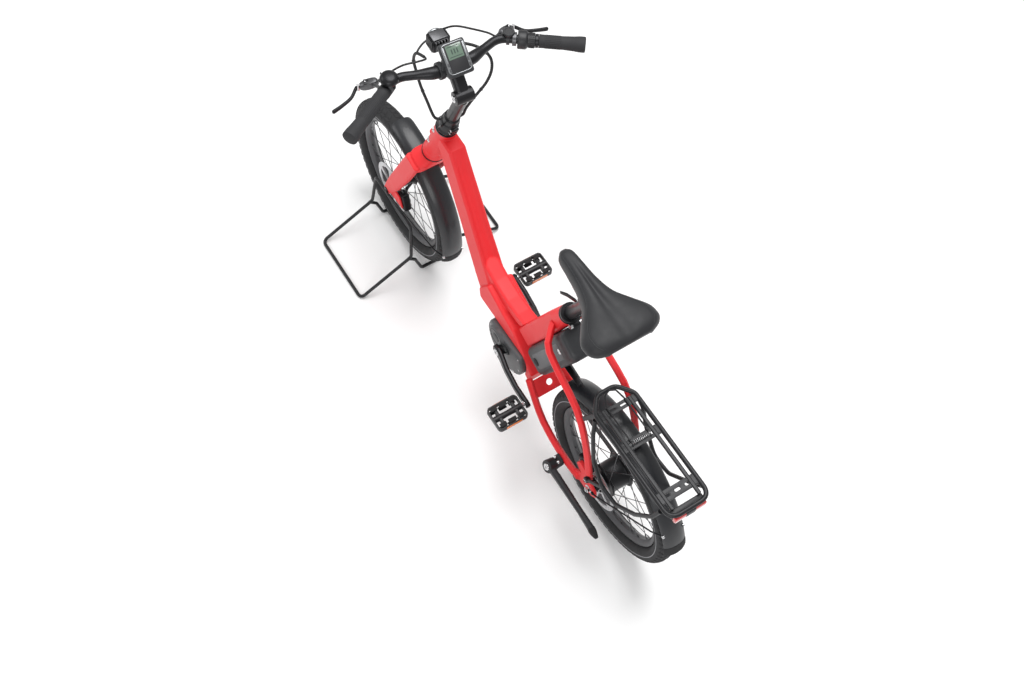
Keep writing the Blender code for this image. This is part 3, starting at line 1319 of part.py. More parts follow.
def wheel_stand():
    loops = []
    for side_name, side in SIDES.items():
        out, hip = side * STAND_HALF_WIDTH, side * STAND_HIP[0]
        hoop = side * STAND_HOOP_Y
        route = [(STAND_FRONT_X, out, STAND_WIRE), (STAND_REAR_X, out, STAND_WIRE),
                 (STAND_REAR_X, hip, STAND_HIP[1]), (STAND_REAR_X + 0.016, hoop, STAND_HOOP_TOP),
                 (STAND_FRONT_X - 0.016, hoop, STAND_HOOP_TOP), (STAND_FRONT_X, hip, STAND_HIP[1])]
        path = bend(route, 0.018, 3, closed=True)
        loops.append(tube("wheel_stand" if side > 0 else "wheel_stand_right_part", path,
                          STAND_WIRE, SATIN_BLACK, STEERING, 7, closed=True, side=(0, 0, 1)))
    ties = []
    for x in (STAND_FRONT_X, STAND_REAR_X):
        low = STAND_WIRE
        route = [(x, 0.078, STAND_HIP[1] - 0.002), (x, 0.055, 0.070), (x, 0.034, low),
                 (x, -0.034, low), (x, -0.055, 0.070), (x, -0.078, STAND_HIP[1] - 0.002)]
        ties.append(sweep(bend(route, 0.012, 2), round_section(STAND_WIRE, 7), (1, 0, 0)))
    return weld(loops[0], cutter(loops[1]), shells("stand_tie_parts", ties, SATIN_BLACK, STEERING))


wheel_stand()

BARS.rotation_mode = "AXIS_ANGLE"
BARS.rotation_axis_angle = (BAR_TURN, *STEER_AXIS)

FRONT_REACH = FRONT_AXLE_X + WHEEL_RADIUS
REAR_REACH = REAR_AXLE_X - (FENDER_RADIUS * math.cos(math.radians(17)))
BIKE.location = (-(FRONT_REACH + REAR_REACH) / 2, 0, 0)
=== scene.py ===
"""Looks of a step-through electric bicycle parked in a wire wheel stand."""
import json
import math

import bmesh
import bpy
from mathutils import Matrix, Vector


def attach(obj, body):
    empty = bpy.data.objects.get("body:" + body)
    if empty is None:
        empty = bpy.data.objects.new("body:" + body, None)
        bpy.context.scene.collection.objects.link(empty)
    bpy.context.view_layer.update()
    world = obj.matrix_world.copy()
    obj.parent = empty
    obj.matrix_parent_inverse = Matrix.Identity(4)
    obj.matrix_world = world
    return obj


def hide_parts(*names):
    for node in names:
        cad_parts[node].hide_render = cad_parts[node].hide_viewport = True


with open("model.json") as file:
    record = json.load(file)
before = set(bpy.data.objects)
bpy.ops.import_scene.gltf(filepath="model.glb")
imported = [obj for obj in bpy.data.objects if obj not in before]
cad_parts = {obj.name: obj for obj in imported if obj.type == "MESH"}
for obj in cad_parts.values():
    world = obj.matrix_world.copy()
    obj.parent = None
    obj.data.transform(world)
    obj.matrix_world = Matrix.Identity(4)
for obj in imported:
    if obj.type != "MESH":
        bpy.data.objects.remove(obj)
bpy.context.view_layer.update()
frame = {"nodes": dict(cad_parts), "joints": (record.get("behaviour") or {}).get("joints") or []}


# Floor and camera
# The bicycle stands on a plain pale floor. The camera looks down on it from high behind its
# left side, as in the photograph.

FLOOR_REACH = 14.0
CAMERA_PLACE = Vector((-1.3843, 1.0203, 3.4117))
CAMERA_HEADING = math.radians(-37.35)
CAMERA_FALL = math.radians(62.26)
CAMERA_ROLL = math.radians(5.60)
CAMERA_LENS = 45.19
SENSOR_WIDTH = 36.0

floor_mesh = bpy.data.meshes.new("floor")
floor_mesh.from_pydata([(-FLOOR_REACH, -FLOOR_REACH, 0), (FLOOR_REACH, -FLOOR_REACH, 0),
                        (FLOOR_REACH, FLOOR_REACH, 0), (-FLOOR_REACH, FLOOR_REACH, 0)],
                       [], [(0, 1, 2, 3)])
floor = bpy.data.objects.new("floor", floor_mesh)
bpy.context.collection.objects.link(floor)

ahead = Vector((math.cos(CAMERA_HEADING) * math.cos(CAMERA_FALL),
                math.sin(CAMERA_HEADING) * math.cos(CAMERA_FALL), -math.sin(CAMERA_FALL)))
level = Vector((math.sin(CAMERA_HEADING), -math.cos(CAMERA_HEADING), 0))
upright = level.cross(ahead)
right = math.cos(CAMERA_ROLL) * level + math.sin(CAMERA_ROLL) * upright
top = math.cos(CAMERA_ROLL) * upright - math.sin(CAMERA_ROLL) * level
camera_data = bpy.data.cameras.new("camera")
camera_data.sensor_width = SENSOR_WIDTH
camera_data.lens = CAMERA_LENS
camera = bpy.data.objects.new("camera", camera_data)
camera.matrix_world = Matrix.Translation(CAMERA_PLACE) @ Matrix((right, top, -ahead)).transposed().to_4x4()
bpy.context.collection.objects.link(camera)
bpy.context.scene.camera = camera


# Red welded frame
# The beam, head tube, upper bar and motor cradle are aluminium, welded in one and painted matt
# coral red. The welds are smoothed, so the joints between the tubes are soft hollows.

class Value:
    """A value inside a finish: sums and products of it are written as ordinary maths."""

    def __init__(self, finish, socket):
        self.finish = finish
        self.socket = socket

    def math(self, operation, *values):
        return self.finish.node("ShaderNodeMath", {"operation": operation}, dict(enumerate(values)))

    def __add__(self, other):
        return self.math("ADD", self, other)

    def __sub__(self, other):
        return self.math("SUBTRACT", self, other)

    def __rsub__(self, other):
        return self.math("SUBTRACT", other, self)

    def __mul__(self, other):
        return self.math("MULTIPLY", self, other)

    def __truediv__(self, other):
        return self.math("DIVIDE", self, other)

    def __pow__(self, other):
        return self.math("POWER", self, other)

    __radd__ = __add__
    __rmul__ = __mul__

    def between(self, low, high):
        """1 from low to high and 0 elsewhere, with a soft edge of a tenth of the band."""
        soft = (high - low) / 10
        return self.rise(low - soft, low + soft) * (1 - self.rise(high - soft, high + soft))

    def rise(self, low, high):
        """0 below low, 1 above high and smooth between."""
        return self.finish.node("ShaderNodeMapRange", {"interpolation_type": "SMOOTHSTEP"},
                                {"Value": self, "From Min": low, "From Max": high})


class Finish:
    """A material whose nodes are all added by one method."""

    def __init__(self, name, roughness, metallic=0.0, **fixed):
        self.material = bpy.data.materials.new(name)
        self.material.use_nodes = True
        self.tree = self.material.node_tree
        self.shader = self.tree.nodes["Principled BSDF"]
        self.shader.inputs["Roughness"].default_value = roughness
        self.shader.inputs["Metallic"].default_value = metallic
        for words, value in fixed.items():
            self.shader.inputs[words.replace("_", " ").title().replace("Ior", "IOR")].default_value = value
        self.place = self.node("ShaderNodeTexCoord", output="Object")

    def node(self, kind, settings=None, values=None, output=0):
        """A node with its settings made first, then its sockets filled or linked."""
        made = self.tree.nodes.new(kind)
        for setting, value in (settings or {}).items():
            setattr(made, setting, value)
        for key, value in (values or {}).items():
            if isinstance(value, Value):
                self.tree.links.new(value.socket, made.inputs[key])
            else:
                made.inputs[key].default_value = value
        return Value(self, made.outputs[output])

    def feed(self, socket, value):
        self.tree.links.new(value.socket, self.shader.inputs[socket])
        return self

    def noise(self, scale, detail=2.0, stretch=None):
        where = self.place
        if stretch:
            where = self.node("ShaderNodeMapping", values={"Vector": self.place, "Scale": stretch})
        return self.node("ShaderNodeTexNoise", values={"Vector": where, "Scale": scale,
                                                       "Detail": detail})

    def blend(self, share, first, second):
        """A colour between two colours."""
        colours = [c if isinstance(c, Value) else (*c, 1.0) for c in (first, second)]
        return self.node("ShaderNodeMix", {"data_type": "RGBA"},
                         {0: share, 6: colours[0], 7: colours[1]}, output=2)

    def axis(self, letter):
        return self.node("ShaderNodeSeparateXYZ", values={0: self.place}, output=letter)

    def away_from(self, centre):
        """Distance from a wheel's or a crank's axle, seen from the side."""
        x, z = self.axis("X") - centre.x, self.axis("Z") - centre.z
        return (x * x + z * z) ** 0.5

    def bump(self, height, depth, strength=0.6):
        """Raises the surface by a height pattern of a depth in metres."""
        return self.feed("Normal", self.node("ShaderNodeBump", values={
            "Strength": strength, "Distance": depth, "Height": height}))

    def vary_roughness(self, pattern, low, high):
        return self.feed("Roughness", pattern * (high - low) + low)


def plain_finish(name, colour, roughness, metallic=0.0, mottle=0.10, grain=900.0, depth=0.00006,
                 **fixed):
    """A finish of one hue with a slow change of tone, an uneven gloss and a fine grain."""
    made = Finish(name, roughness, metallic, **fixed)
    slow = made.noise(9.0)
    darker = [c * (1 - mottle) for c in colour]
    lighter = [min(1.0, c * (1 + mottle)) for c in colour]
    made.feed("Base Color", made.blend(slow, darker, lighter))
    made.vary_roughness(made.noise(35.0), roughness - 0.05, roughness + 0.05)
    return made.bump(made.noise(grain), depth)


class Form:
    """One piece being shaped. Its bodies are closed, and each has a finish by number."""

    def __init__(self):
        self.bm = bmesh.new()

    def skin(self, rings, closed=False, finish=0):
        """Joins rings of points in order. An open run is capped at both ends."""
        rows = [[self.bm.verts.new(point) for point in ring] for ring in rings]
        count = len(rows[0])
        faces = []
        for i in range(len(rows) if closed else len(rows) - 1):
            here, there = rows[i], rows[(i + 1) % len(rows)]
            for j in range(count):
                k = (j + 1) % count
                faces.append(self.bm.faces.new((here[j], here[k], there[k], there[j])))
        if not closed:
            faces.append(self.bm.faces.new(rows[0][::-1]))
            faces.append(self.bm.faces.new(rows[-1]))
        bmesh.ops.recalc_face_normals(self.bm, faces=faces)
        for face in faces:
            face.material_index = finish
        return self

    def run(self, path, section, side=(0, 1, 0), closed=False, finish=0):
        """Carries a section, or one section for each point, along a path."""
        return self.skin(sweep(path, section, side, closed), closed, finish)

    def turn(self, profile, centre, axis=(0, 1, 0), steps=48, finish=0):
        """Turns (radius, distance) points about an axis. A profile off the axis is a ring."""
        axis = Vector(axis).normalized()
        out = axis.orthogonal().normalized()
        centre = Vector(centre)
        spin = [Matrix.Rotation(2 * math.pi * i / steps, 3, axis) @ out for i in range(steps)]
        if profile[0][0] > 0:
            return self.skin([[centre + r * way + d * axis for r, d in profile] for way in spin],
                             True, finish)
        return self.skin([[centre + r * way + d * axis for way in spin] for r, d in profile[1:-1]],
                         False, finish)

    def box(self, size, place, turn=None, finish=0, edge=0.0, steps=2):
        """A box with its four long corners rounded, standing on its third side."""
        turn = turn or Matrix.Identity(3)
        section = oblong(size[0], size[1], max(edge, 0.0001), steps)
        half = size[2] / 2
        ends = [(-half, edge), (-half + edge * 0.3, edge * 0.3), (-half + edge, 0.0),
                (half - edge, 0.0), (half - edge * 0.3, edge * 0.3), (half, edge)]
        if not edge:
            ends = [(-half, 0.0), (half, 0.0)]
        rings = []
        for up, inset in ends:
            narrow = 1 - 2 * inset / size[0], 1 - 2 * inset / size[1]
            rings.append([Vector(place) + turn @ Vector((a * narrow[0], b * narrow[1], up))
                          for a, b in section])
        return self.skin(rings, False, finish)

    def take(self, mesh, finish=0):
        """Adds a finished mesh to the piece."""
        start = len(self.bm.faces)
        self.bm.from_mesh(mesh)
        self.bm.faces.ensure_lookup_table()
        for face in self.bm.faces[start:]:
            face.material_index = finish
        bpy.data.meshes.remove(mesh)
        return self

    def show(self, name, finishes, body, slot, stands_for=(), sharp=40, bars=False):
        """Makes the piece an object that rides on its body."""
        mesh = bpy.data.meshes.new(name)
        self.bm.to_mesh(mesh)
        self.bm.free()
        mesh.shade_smooth()
        mesh.set_sharp_from_angle(angle=math.radians(sharp))
        if bars:
            mesh.transform(BAR_TWIST)
        for one in finishes:
            mesh.materials.append(one.material)
        piece = bpy.data.objects.new(name, mesh)
        bpy.context.collection.objects.link(piece)
        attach(piece, body)
        if stands_for:
            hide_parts(*stands_for)
        return piece


def oblong(width, height, corner, steps=4):
    """A rectangle's outline with round corners."""
    points = []
    for quarter in range(4):
        middle = math.radians(45 + 90 * quarter)
        across = math.copysign(width / 2 - corner, math.cos(middle))
        up = math.copysign(height / 2 - corner, math.sin(middle))
        for i in range(steps + 1):
            t = math.radians(90 * quarter + 90 * i / steps)
            points.append((across + corner * math.cos(t), up + corner * math.sin(t)))
    return points


def disc(radius, sides=16):
    return [(radius * math.cos(t), radius * math.sin(t))
            for t in (2 * math.pi * i / sides for i in range(sides))]


def sweep(path, section, side=(0, 1, 0), closed=False):
    """Rings of a section along a path; side is where the section's first axis points."""
    path = [Vector(p) for p in path]
    last = len(path) - 1
    ahead = []
    for i in range(len(path)):
        before = path[i - 1] if closed or i > 0 else path[i]
        after = path[(i + 1) % len(path)] if closed or i < last else path[i]
        ahead.append((after - before).normalized())
    side = Vector(side)
    side = (side - side.dot(ahead[0]) * ahead[0]).normalized()
    rings = []
    for i, point in enumerate(path):
        if i:
            side = ahead[i - 1].rotation_difference(ahead[i]) @ side
            side = (side - side.dot(ahead[i]) * ahead[i]).normalized()
        up = ahead[i].cross(side)
        flat = section[i] if isinstance(section[0][0], (tuple, list)) else section
        rings.append([point + a * side + b * up for a, b in flat])
    return rings


def welded(node, voxel, rounds=4):
    """A fine, even skin over a welded or cast solid, with its inner corners filled in."""
    mesh = frame["nodes"][node].data.copy()
    bm = bmesh.new()
    bm.from_mesh(mesh)
    bmesh.ops.remove_doubles(bm, verts=bm.verts, dist=0.00001)
    bm.to_mesh(mesh)
    bm.free()
    mesh.materials.clear()
    form = bpy.data.objects.new("weld_form", mesh)
    bpy.context.collection.objects.link(form)
    skin = form.modifiers.new("even_skin", "REMESH")
    skin.mode = "VOXEL"
    skin.voxel_size = voxel
    ease = form.modifiers.new("eased_corners", "SMOOTH")
    ease.factor = 0.5
    ease.iterations = rounds
    bpy.context.view_layer.update()
    result = bpy.data.meshes.new_from_object(form.evaluated_get(bpy.context.evaluated_depsgraph_get()))
    bpy.data.objects.remove(form)
    return result


JOINT = {joint["name"]: joint for joint in frame["joints"]}
REAR_AXLE = Vector(JOINT["rear_wheel_spin"]["pos_m"])
FRONT_AXLE = Vector(JOINT["front_wheel_spin"]["pos_m"])
BRACKET = Vector(JOINT["crank_spin"]["pos_m"])
STEER_FOOT = Vector(JOINT["steering_turn"]["pos_m"])
STEER_AXIS = Vector(JOINT["steering_turn"]["axis"]).normalized()
STEER_AHEAD = Vector((STEER_AXIS.z, 0, -STEER_AXIS.x))
SIDES = {"left": 1, "right": -1}


def at(x, y, z):
    """A point given ahead of the bottom bracket, to the left and above the floor."""
    return Vector((BRACKET.x + x, y, z))


def mirrored(point, side):
    return Vector((point[0], side * point[1], point[2]))


def on_steering(up, ahead=0.0, left=0.0):
    """A point up the steering axis from its foot, ahead of it and to the left."""
    return STEER_FOOT + up * STEER_AXIS + ahead * STEER_AHEAD + Vector((0, left, 0))


def up_axis(height):
    """How far up the steering axis a height above the floor lies."""
    return (height - STEER_FOOT.z) / STEER_AXIS.z


CORAL = (0.80, 0.024, 0.030)
FRAME_SKIN = 0.0018
HEAD_TOP = 0.803
HEAD_BOTTOM = 0.622
HEAD_RADIUS = 0.029

coral_paint = Finish("coral_paint", 0.48, coat_weight=0.04, coat_roughness=0.40, specular_ior_level=0.36)
tone = coral_paint.noise(6.0)
coral_paint.feed("Base Color", coral_paint.blend(tone, [c * 0.94 for c in CORAL], CORAL))
coral_paint.vary_roughness(coral_paint.noise(40.0), 0.44, 0.54)
coral_paint.bump(coral_paint.noise(700.0, 3.0), 0.00005)
black_metal = plain_finish("black_anodised_metal", (0.018, 0.018, 0.020), 0.34, 0.6)
bright_steel = plain_finish("bright_steel", (0.62, 0.62, 0.63), 0.24, 1.0, grain=400.0)

Form().take(welded("main_frame", FRAME_SKIN)).show(
    "welded_frame", [coral_paint], "frame", "red_paint", ["main_frame"], sharp=80)

# The pinch bolts of the cable port sit in the left of the head tube, and a black ring closes
# each end of it.
PORT_BOLT_RADIUS = 0.0050
port_bolts = Form()
for height, swing in ((0.772, 62), (0.700, 62)):
    t = math.radians(swing)
    out = math.cos(t) * STEER_AHEAD + math.sin(t) * Vector((0, 1, 0))
    port_bolts.turn([(0, -0.004), (PORT_BOLT_RADIUS + 0.003, -0.004), (PORT_BOLT_RADIUS + 0.003, 0.0008),
                     (PORT_BOLT_RADIUS, 0.0012), (PORT_BOLT_RADIUS, 0.0030),
                     (PORT_BOLT_RADIUS - 0.0012, 0.0036), (0.0020, 0.0036), (0.0020, 0.0012), (0, 0.0012)],
                    on_steering(up_axis(height)) + HEAD_RADIUS * out, out, 24)
port_bolts.show("cable_port_bolts", [bright_steel], "frame", "silver_metal")
rings = Form()
low = up_axis(HEAD_BOTTOM)
rings.turn([(HEAD_RADIUS + 0.0030, low + 0.0002), (HEAD_RADIUS + 0.0052, low + 0.0008),
            (HEAD_RADIUS + 0.0052, low + 0.0050), (HEAD_RADIUS + 0.0030, low + 0.0058)],
           STEER_FOOT, STEER_AXIS, 64)
high = up_axis(HEAD_TOP)
rings.turn([(HEAD_RADIUS - 0.003, high - 0.0060), (HEAD_RADIUS + 0.0012, high - 0.0052),
            (HEAD_RADIUS + 0.0012, high - 0.0010), (HEAD_RADIUS - 0.003, high - 0.0002)],
           STEER_FOOT, STEER_AXIS, 64)
rings.show("headset_cups", [black_metal], "frame", "black_metal")


# Seat tube, stays and dropouts
# Drawn aluminium tubes, painted with the frame. The seat tube's top is split and held by the
# clamp. The stays run past the battery to forged dropouts that carry the rear axle.

TUBE_SKIN = 0.0016

Form().take(welded("seat_tube", TUBE_SKIN)).show(
    "painted_seat_tube", [coral_paint], "frame", "red_paint", ["seat_tube"], sharp=80)
for side_name in SIDES:
    for stay in ("seat_stay_", "chain_stay_"):
        Form().take(welded(stay + side_name, TUBE_SKIN, 3)).show(
            "painted_" + stay + side_name, [coral_paint], "frame", "red_paint",
            [stay + side_name], sharp=80)

SEAT_ANGLE = math.radians(67.2)
SEAT_UP = Vector((-math.cos(SEAT_ANGLE), 0, math.sin(SEAT_ANGLE)))
SEAT_BACK = Vector((-math.sin(SEAT_ANGLE), 0, -math.cos(SEAT_ANGLE)))


def on_seat(up, back=0.0, left=0.0):
    """A point up the seat tube's line from the bottom bracket, behind it and to the left."""
    return BRACKET + up * SEAT_UP + back * SEAT_BACK + Vector((0, left, 0))


def pierced(outline, holes, thickness, place, axis_x, axis_y, edge=0.0):
    """A plate of a thickness with holes, drawn flat and then set on a place by two axes."""
    drawing = bpy.data.curves.new("plate_drawing", "CURVE")
    drawing.dimensions = "2D"
    drawing.fill_mode = "BOTH"
    drawing.extrude = thickness / 2 - edge
    drawing.bevel_depth = edge
    drawing.bevel_resolution = 1
    for loop in [outline, *holes]:
        line = drawing.splines.new("POLY")
        line.points.add(len(loop) - 1)
        for point, (a, b) in zip(line.points, loop):
            point.co = (a, b, 0, 1)
        line.use_cyclic_u = True
    form = bpy.data.objects.new("plate_form", drawing)
    bpy.context.collection.objects.link(form)
    bpy.context.view_layer.update()
    mesh = bpy.data.meshes.new_from_object(form.evaluated_get(bpy.context.evaluated_depsgraph_get()))
    bpy.data.objects.remove(form)
    axis_x, axis_y = Vector(axis_x), Vector(axis_y)
    stand = Matrix((axis_x, axis_y, axis_x.cross(axis_y))).transposed().to_4x4()
    mesh.transform(Matrix.Translation(place) @ stand)
    bm = bmesh.new()
    bm.from_mesh(mesh)
    bmesh.ops.remove_doubles(bm, verts=bm.verts, dist=0.000005)
    bmesh.ops.recalc_face_normals(bm, faces=bm.faces)
    bm.to_mesh(mesh)
    bm.free()
    return mesh


def ring_points(radius, count, centre=(0, 0), start=0.0):
    return [(centre[0] + radius * math.cos(start + 2 * math.pi * i / count),
             centre[1] + radius * math.sin(start + 2 * math.pi * i / count)) for i in range(count)]


PLATE_TOP = at(-0.127, 0, 0.2945)
PLATE_FOOT = at(-0.165, 0, 0.2655)
PLATE_SLOPE = (PLATE_FOOT - PLATE_TOP).normalized()
PLATE_LENGTH = (PLATE_FOOT - PLATE_TOP).length
plate_middle = (PLATE_TOP + PLATE_FOOT) / 2
Form().take(pierced([(-PLATE_LENGTH / 2, -0.0409), (PLATE_LENGTH / 2, -0.0470),
                     (PLATE_LENGTH / 2, 0.0470), (-PLATE_LENGTH / 2, 0.0409)],
                    [ring_points(0.010, 28, (0.0, 0.0))], 0.0042, plate_middle,
                    PLATE_SLOPE, (0, 1, 0), 0.0008)).show(
    "chain_stay_bridge", [coral_paint], "frame", "red_paint", ["stay_plate"])


# Wheels: tyres
# 20 inch e-bike tyres, 57 mm wide. Rows of low moulded blocks stand on a round casing, and a
# fine reflecting line runs round each side wall.

WHEEL_RADIUS = REAR_AXLE.z
RIM_RADIUS = 0.209
TYRE_HALF_WIDTH = 0.0285
RIM_HALF_WIDTH = 0.0145
TREAD_DEPTH = 0.0016
TREAD_ROWS = 66
TYRE_STEPS = 132


def socket_of(tree, name, kind):
    return tree.interface.new_socket(name, in_out="INPUT", socket_type=kind).identifier


class Tree:
    """A Geometry Nodes tree with named inputs, wired from start to end."""

    def __init__(self, name, inputs):
        self.tree = bpy.data.node_groups.new(name, "GeometryNodeTree")
        self.tree.interface.new_socket("Shape", in_out="OUTPUT", socket_type="NodeSocketGeometry")
        self.keys = {"Shape": socket_of(self.tree, "Shape", "NodeSocketGeometry")}
        for label, kind in inputs.items():
            self.keys[label] = socket_of(self.tree, label, "NodeSocket" + kind)
        self.given = self.tree.nodes.new("NodeGroupInput")
        self.result = self.tree.nodes.new("NodeGroupOutput")

    def add(self, kind, settings=None, links=None):
        made = self.tree.nodes.new(kind)
        for setting, value in (settings or {}).items():
            setattr(made, setting, value)
        for key, source in (links or {}).items():
            if isinstance(source, str):
                self.tree.links.new(self.given.outputs[source], made.inputs[key])
            elif hasattr(source, "is_linked"):
                self.tree.links.new(source, made.inputs[key])
            else:
                made.inputs[key].default_value = source
        return made

    def close(self, shape):
        """Ends the tree: every copy is made real and gets its finish."""
        real = self.add("GeometryNodeRealizeInstances", links={0: shape})
        dressed = self.add("GeometryNodeSetMaterial", links={"Geometry": real.outputs[0],
                                                             "Material": "Finish"})
        self.tree.links.new(dressed.outputs[0], self.result.inputs[0])
        return self

    def grow(self, data, **sizes):
        """The mesh that the tree makes from a shape at these sizes."""
        form = bpy.data.objects.new("tree_form", data)
        bpy.context.collection.objects.link(form)
        nodes = form.modifiers.new("repeat", "NODES")
        nodes.node_group = self.tree
        for label, value in sizes.items():
            nodes[self.keys[label]] = value
        bpy.context.view_layer.update()
        mesh = bpy.data.meshes.new_from_object(
            form.evaluated_get(bpy.context.evaluated_depsgraph_get()))
        bpy.data.objects.remove(form)
        return mesh


# Copies of one shape, turned step by step about an axis
ring_tree = Tree("ring_of_copies", {"Count": "Int", "Centre": "Vector", "Axis": "Vector",
                                    "Step": "Float", "Finish": "Material"})
home = ring_tree.add("ShaderNodeVectorMath", {"operation": "SCALE"}, {0: "Centre", "Scale": -1.0})
centred = ring_tree.add("GeometryNodeTransform", links={"Geometry": "Shape",
                                                       "Translation": home.outputs[0]})
points = ring_tree.add("GeometryNodePoints", links={"Count": "Count", "Position": "Centre"})
number = ring_tree.add("GeometryNodeInputIndex")
swing = ring_tree.add("ShaderNodeMath", {"operation": "MULTIPLY"}, {0: number.outputs[0], 1: "Step"})
pose = ring_tree.add("FunctionNodeAxisAngleToRotation", links={"Axis": "Axis",
                                                              "Angle": swing.outputs[0]})
copies = ring_tree.add("GeometryNodeInstanceOnPoints", links={
    "Points": points.outputs[0], "Instance": centred.outputs[0], "Rotation": pose.outputs[0]})
ring_tree.close(copies.outputs[0])


def ring_of(form, count, centre, finish, axis=(0, 1, 0), turn=2 * math.pi):
    """A ring of copies of a form about an axis, as one mesh."""
    mesh = bpy.data.meshes.new("ring_form")
    form.bm.to_mesh(mesh)
    form.bm.free()
    return ring_tree.grow(mesh, Count=count, Centre=tuple(centre), Axis=tuple(axis),
                          Step=turn / count, Finish=finish.material)


def tyre_finish(name, axle):
    """Matt rubber with a fine moulded texture and a light line on the side wall."""
    made = Finish(name, 0.78)
    out = made.away_from(axle)
    line = out.between(0.2315, 0.2335)
    dusty = made.noise(22.0)
    rubber = made.blend(dusty, (0.011, 0.011, 0.012), (0.022, 0.022, 0.024))
    made.feed("Base Color", made.blend(line * 0.75, rubber, (0.38, 0.38, 0.40)))
    ribs = made.node("ShaderNodeTexWave", {"wave_type": "RINGS", "rings_direction": "Y"},
                     {"Vector": made.node("ShaderNodeVectorMath", {"operation": "SUBTRACT"},
                                          {0: made.place, 1: tuple(axle)}), "Scale": 120.0})
    made.vary_roughness(made.noise(60.0), 0.66, 0.86)
    return made.bump(made.noise(800.0) * 0.5 + ribs * 0.5, 0.00012)


def casing_point(t, sink):
    """A point of the tyre's half-section at an angle from its side, sunk below the crown."""
    seat = RIM_RADIUS + 0.0003
    middle = (seat + WHEEL_RADIUS - sink) / 2
    rise = (WHEEL_RADIUS - sink - seat) / 2
    flat = math.copysign(abs(math.sin(t)) ** 0.8, math.sin(t))
    return middle + rise * flat, TYRE_HALF_WIDTH * math.cos(t)


def tread_block(form, axle, t_from, t_to, ahead_from, ahead_to, skew):
    """One moulded block on the casing, from one angle of the section to another."""
    rings = []
    for lift, shrink in ((-0.0006, 1.0), (TREAD_DEPTH - 0.0003, 0.92), (TREAD_DEPTH, 0.80)):
        ring = []
        for share_t, share_a in ((0, 0), (0.5, 0), (1, 0), (1, 1), (0.5, 1), (0, 1)):
            share_t = 0.5 + (share_t - 0.5) * shrink
            share_a = 0.5 + (share_a - 0.5) * shrink
            t = t_from + (t_to - t_from) * share_t
            r, y = casing_point(t, TREAD_DEPTH)
            normal = Vector((math.sin(t), math.cos(t) * 0.7))
            r, y = r + lift * normal[0], y + lift * normal[1]
            turn = ahead_from + (ahead_to - ahead_from) * share_a + skew * share_t
            ring.append(axle + Vector((r * math.cos(turn), y, r * math.sin(turn))))
        rings.append(ring)
    form.skin(rings)


def tyre(name, axle, body):
    finish = tyre_finish(name + "_rubber", axle)
    start = math.asin(RIM_HALF_WIDTH / TYRE_HALF_WIDTH) - math.pi / 2
    count = 36
    profile = [casing_point(start + (math.pi - 2 * start) * i / count, TREAD_DEPTH)
               for i in range(count + 1)]
    casing = Form().turn(profile, axle, steps=TYRE_STEPS)
    pitch = 2 * math.pi / TREAD_ROWS
    blocks = Form()
    for side in SIDES.values():
        offset = 0.0 if side > 0 else 0.5 * pitch
        for low, high, skew, long in ((0.32, 0.60, -0.20, 0.62), (0.68, 0.98, 0.22, 0.70),
                                      (1.05, 1.46, -0.25, 0.74)):
            low, high = (low, high) if side > 0 else (math.pi - low, math.pi - high)
            tread_block(blocks, axle, low, high, offset, offset + long * pitch, skew * pitch)
    casing.take(ring_of(blocks, TREAD_ROWS, axle, finish))
    casing.show("rubber_" + name, [finish], body, "tyre", [name], sharp=50)


tyre("front_tyre", FRONT_AXLE, "front_wheel")
tyre("rear_tyre", REAR_AXLE, "rear_wheel")


# Wheels: rims, hubs and spokes
# Grey double-wall rims on black hubs, laced with 28 dark steel spokes that cross. Each spoke is
# hooked through its flange and screwed into a nipple at the rim.

RIM_DEPTH = 0.017
SPOKES = 28
SPOKE_RADIUS = 0.00105
NIPPLE_RADIUS = 0.0021
NIPPLE_LENGTH = 0.012
SPOKE_GROUP = 4

spoke_steel = plain_finish("dark_spoke_steel", (0.10, 0.10, 0.105), 0.30, 1.0)
rim_metal = plain_finish("grey_rim_metal", (0.10, 0.10, 0.105), 0.40, 0.8)


def rim_profile():
    inner = RIM_RADIUS - RIM_DEPTH
    return [(RIM_RADIUS, -RIM_HALF_WIDTH), (RIM_RADIUS, RIM_HALF_WIDTH),
            (RIM_RADIUS - 0.0008, RIM_HALF_WIDTH + 0.0003), (RIM_RADIUS - 0.0085, RIM_HALF_WIDTH),
            (RIM_RADIUS - 0.0105, RIM_HALF_WIDTH - 0.0012), (inner + 0.001, 0.0068),
            (inner, 0.0055), (inner, -0.0055), (inner + 0.001, -0.0068),
            (RIM_RADIUS - 0.0105, -RIM_HALF_WIDTH + 0.0012), (RIM_RADIUS - 0.0085, -RIM_HALF_WIDTH),
            (RIM_RADIUS - 0.0008, -RIM_HALF_WIDTH - 0.0003)]


def spoke(form, axle, number, flange, flange_out, lean):
    """One spoke, from its head in the flange to its nipple in the rim."""
    side = 1 if number % 2 else -1
    turn = 2 * math.pi * number / SPOKES
    outer = (number // 2) % 2
    back = lean if outer else -lean
    inset = 0.0024 if outer else -0.0024
    reach = RIM_RADIUS - RIM_DEPTH + 0.002

    def place(radius, angle, across):
        return axle + Vector((radius * math.cos(angle), across, radius * math.sin(angle)))

    head = place(flange, turn + back, side * (flange_out - inset))
    elbow = place(flange, turn + back, side * (flange_out + inset))
    tip = place(reach, turn, side * 0.002)
    along = (tip - elbow).normalized()
    form.run([head, elbow - 0.0004 * along, elbow + 0.004 * along, tip], disc(SPOKE_RADIUS, 6),
             (0.3, 1, 0.2), finish=0)
    form.turn([(0, -0.0012), (0.0020, -0.0012), (0.0020, 0.0006), (0, 0.0006)], head,
              (0, 1, 0), 8)
    form.run([tip - NIPPLE_LENGTH * along, tip - NIPPLE_LENGTH * 0.9 * along, tip],
             [disc(NIPPLE_RADIUS * 0.7, 6), disc(NIPPLE_RADIUS, 6), disc(NIPPLE_RADIUS, 6)],
             (0.3, 1, 0.2))


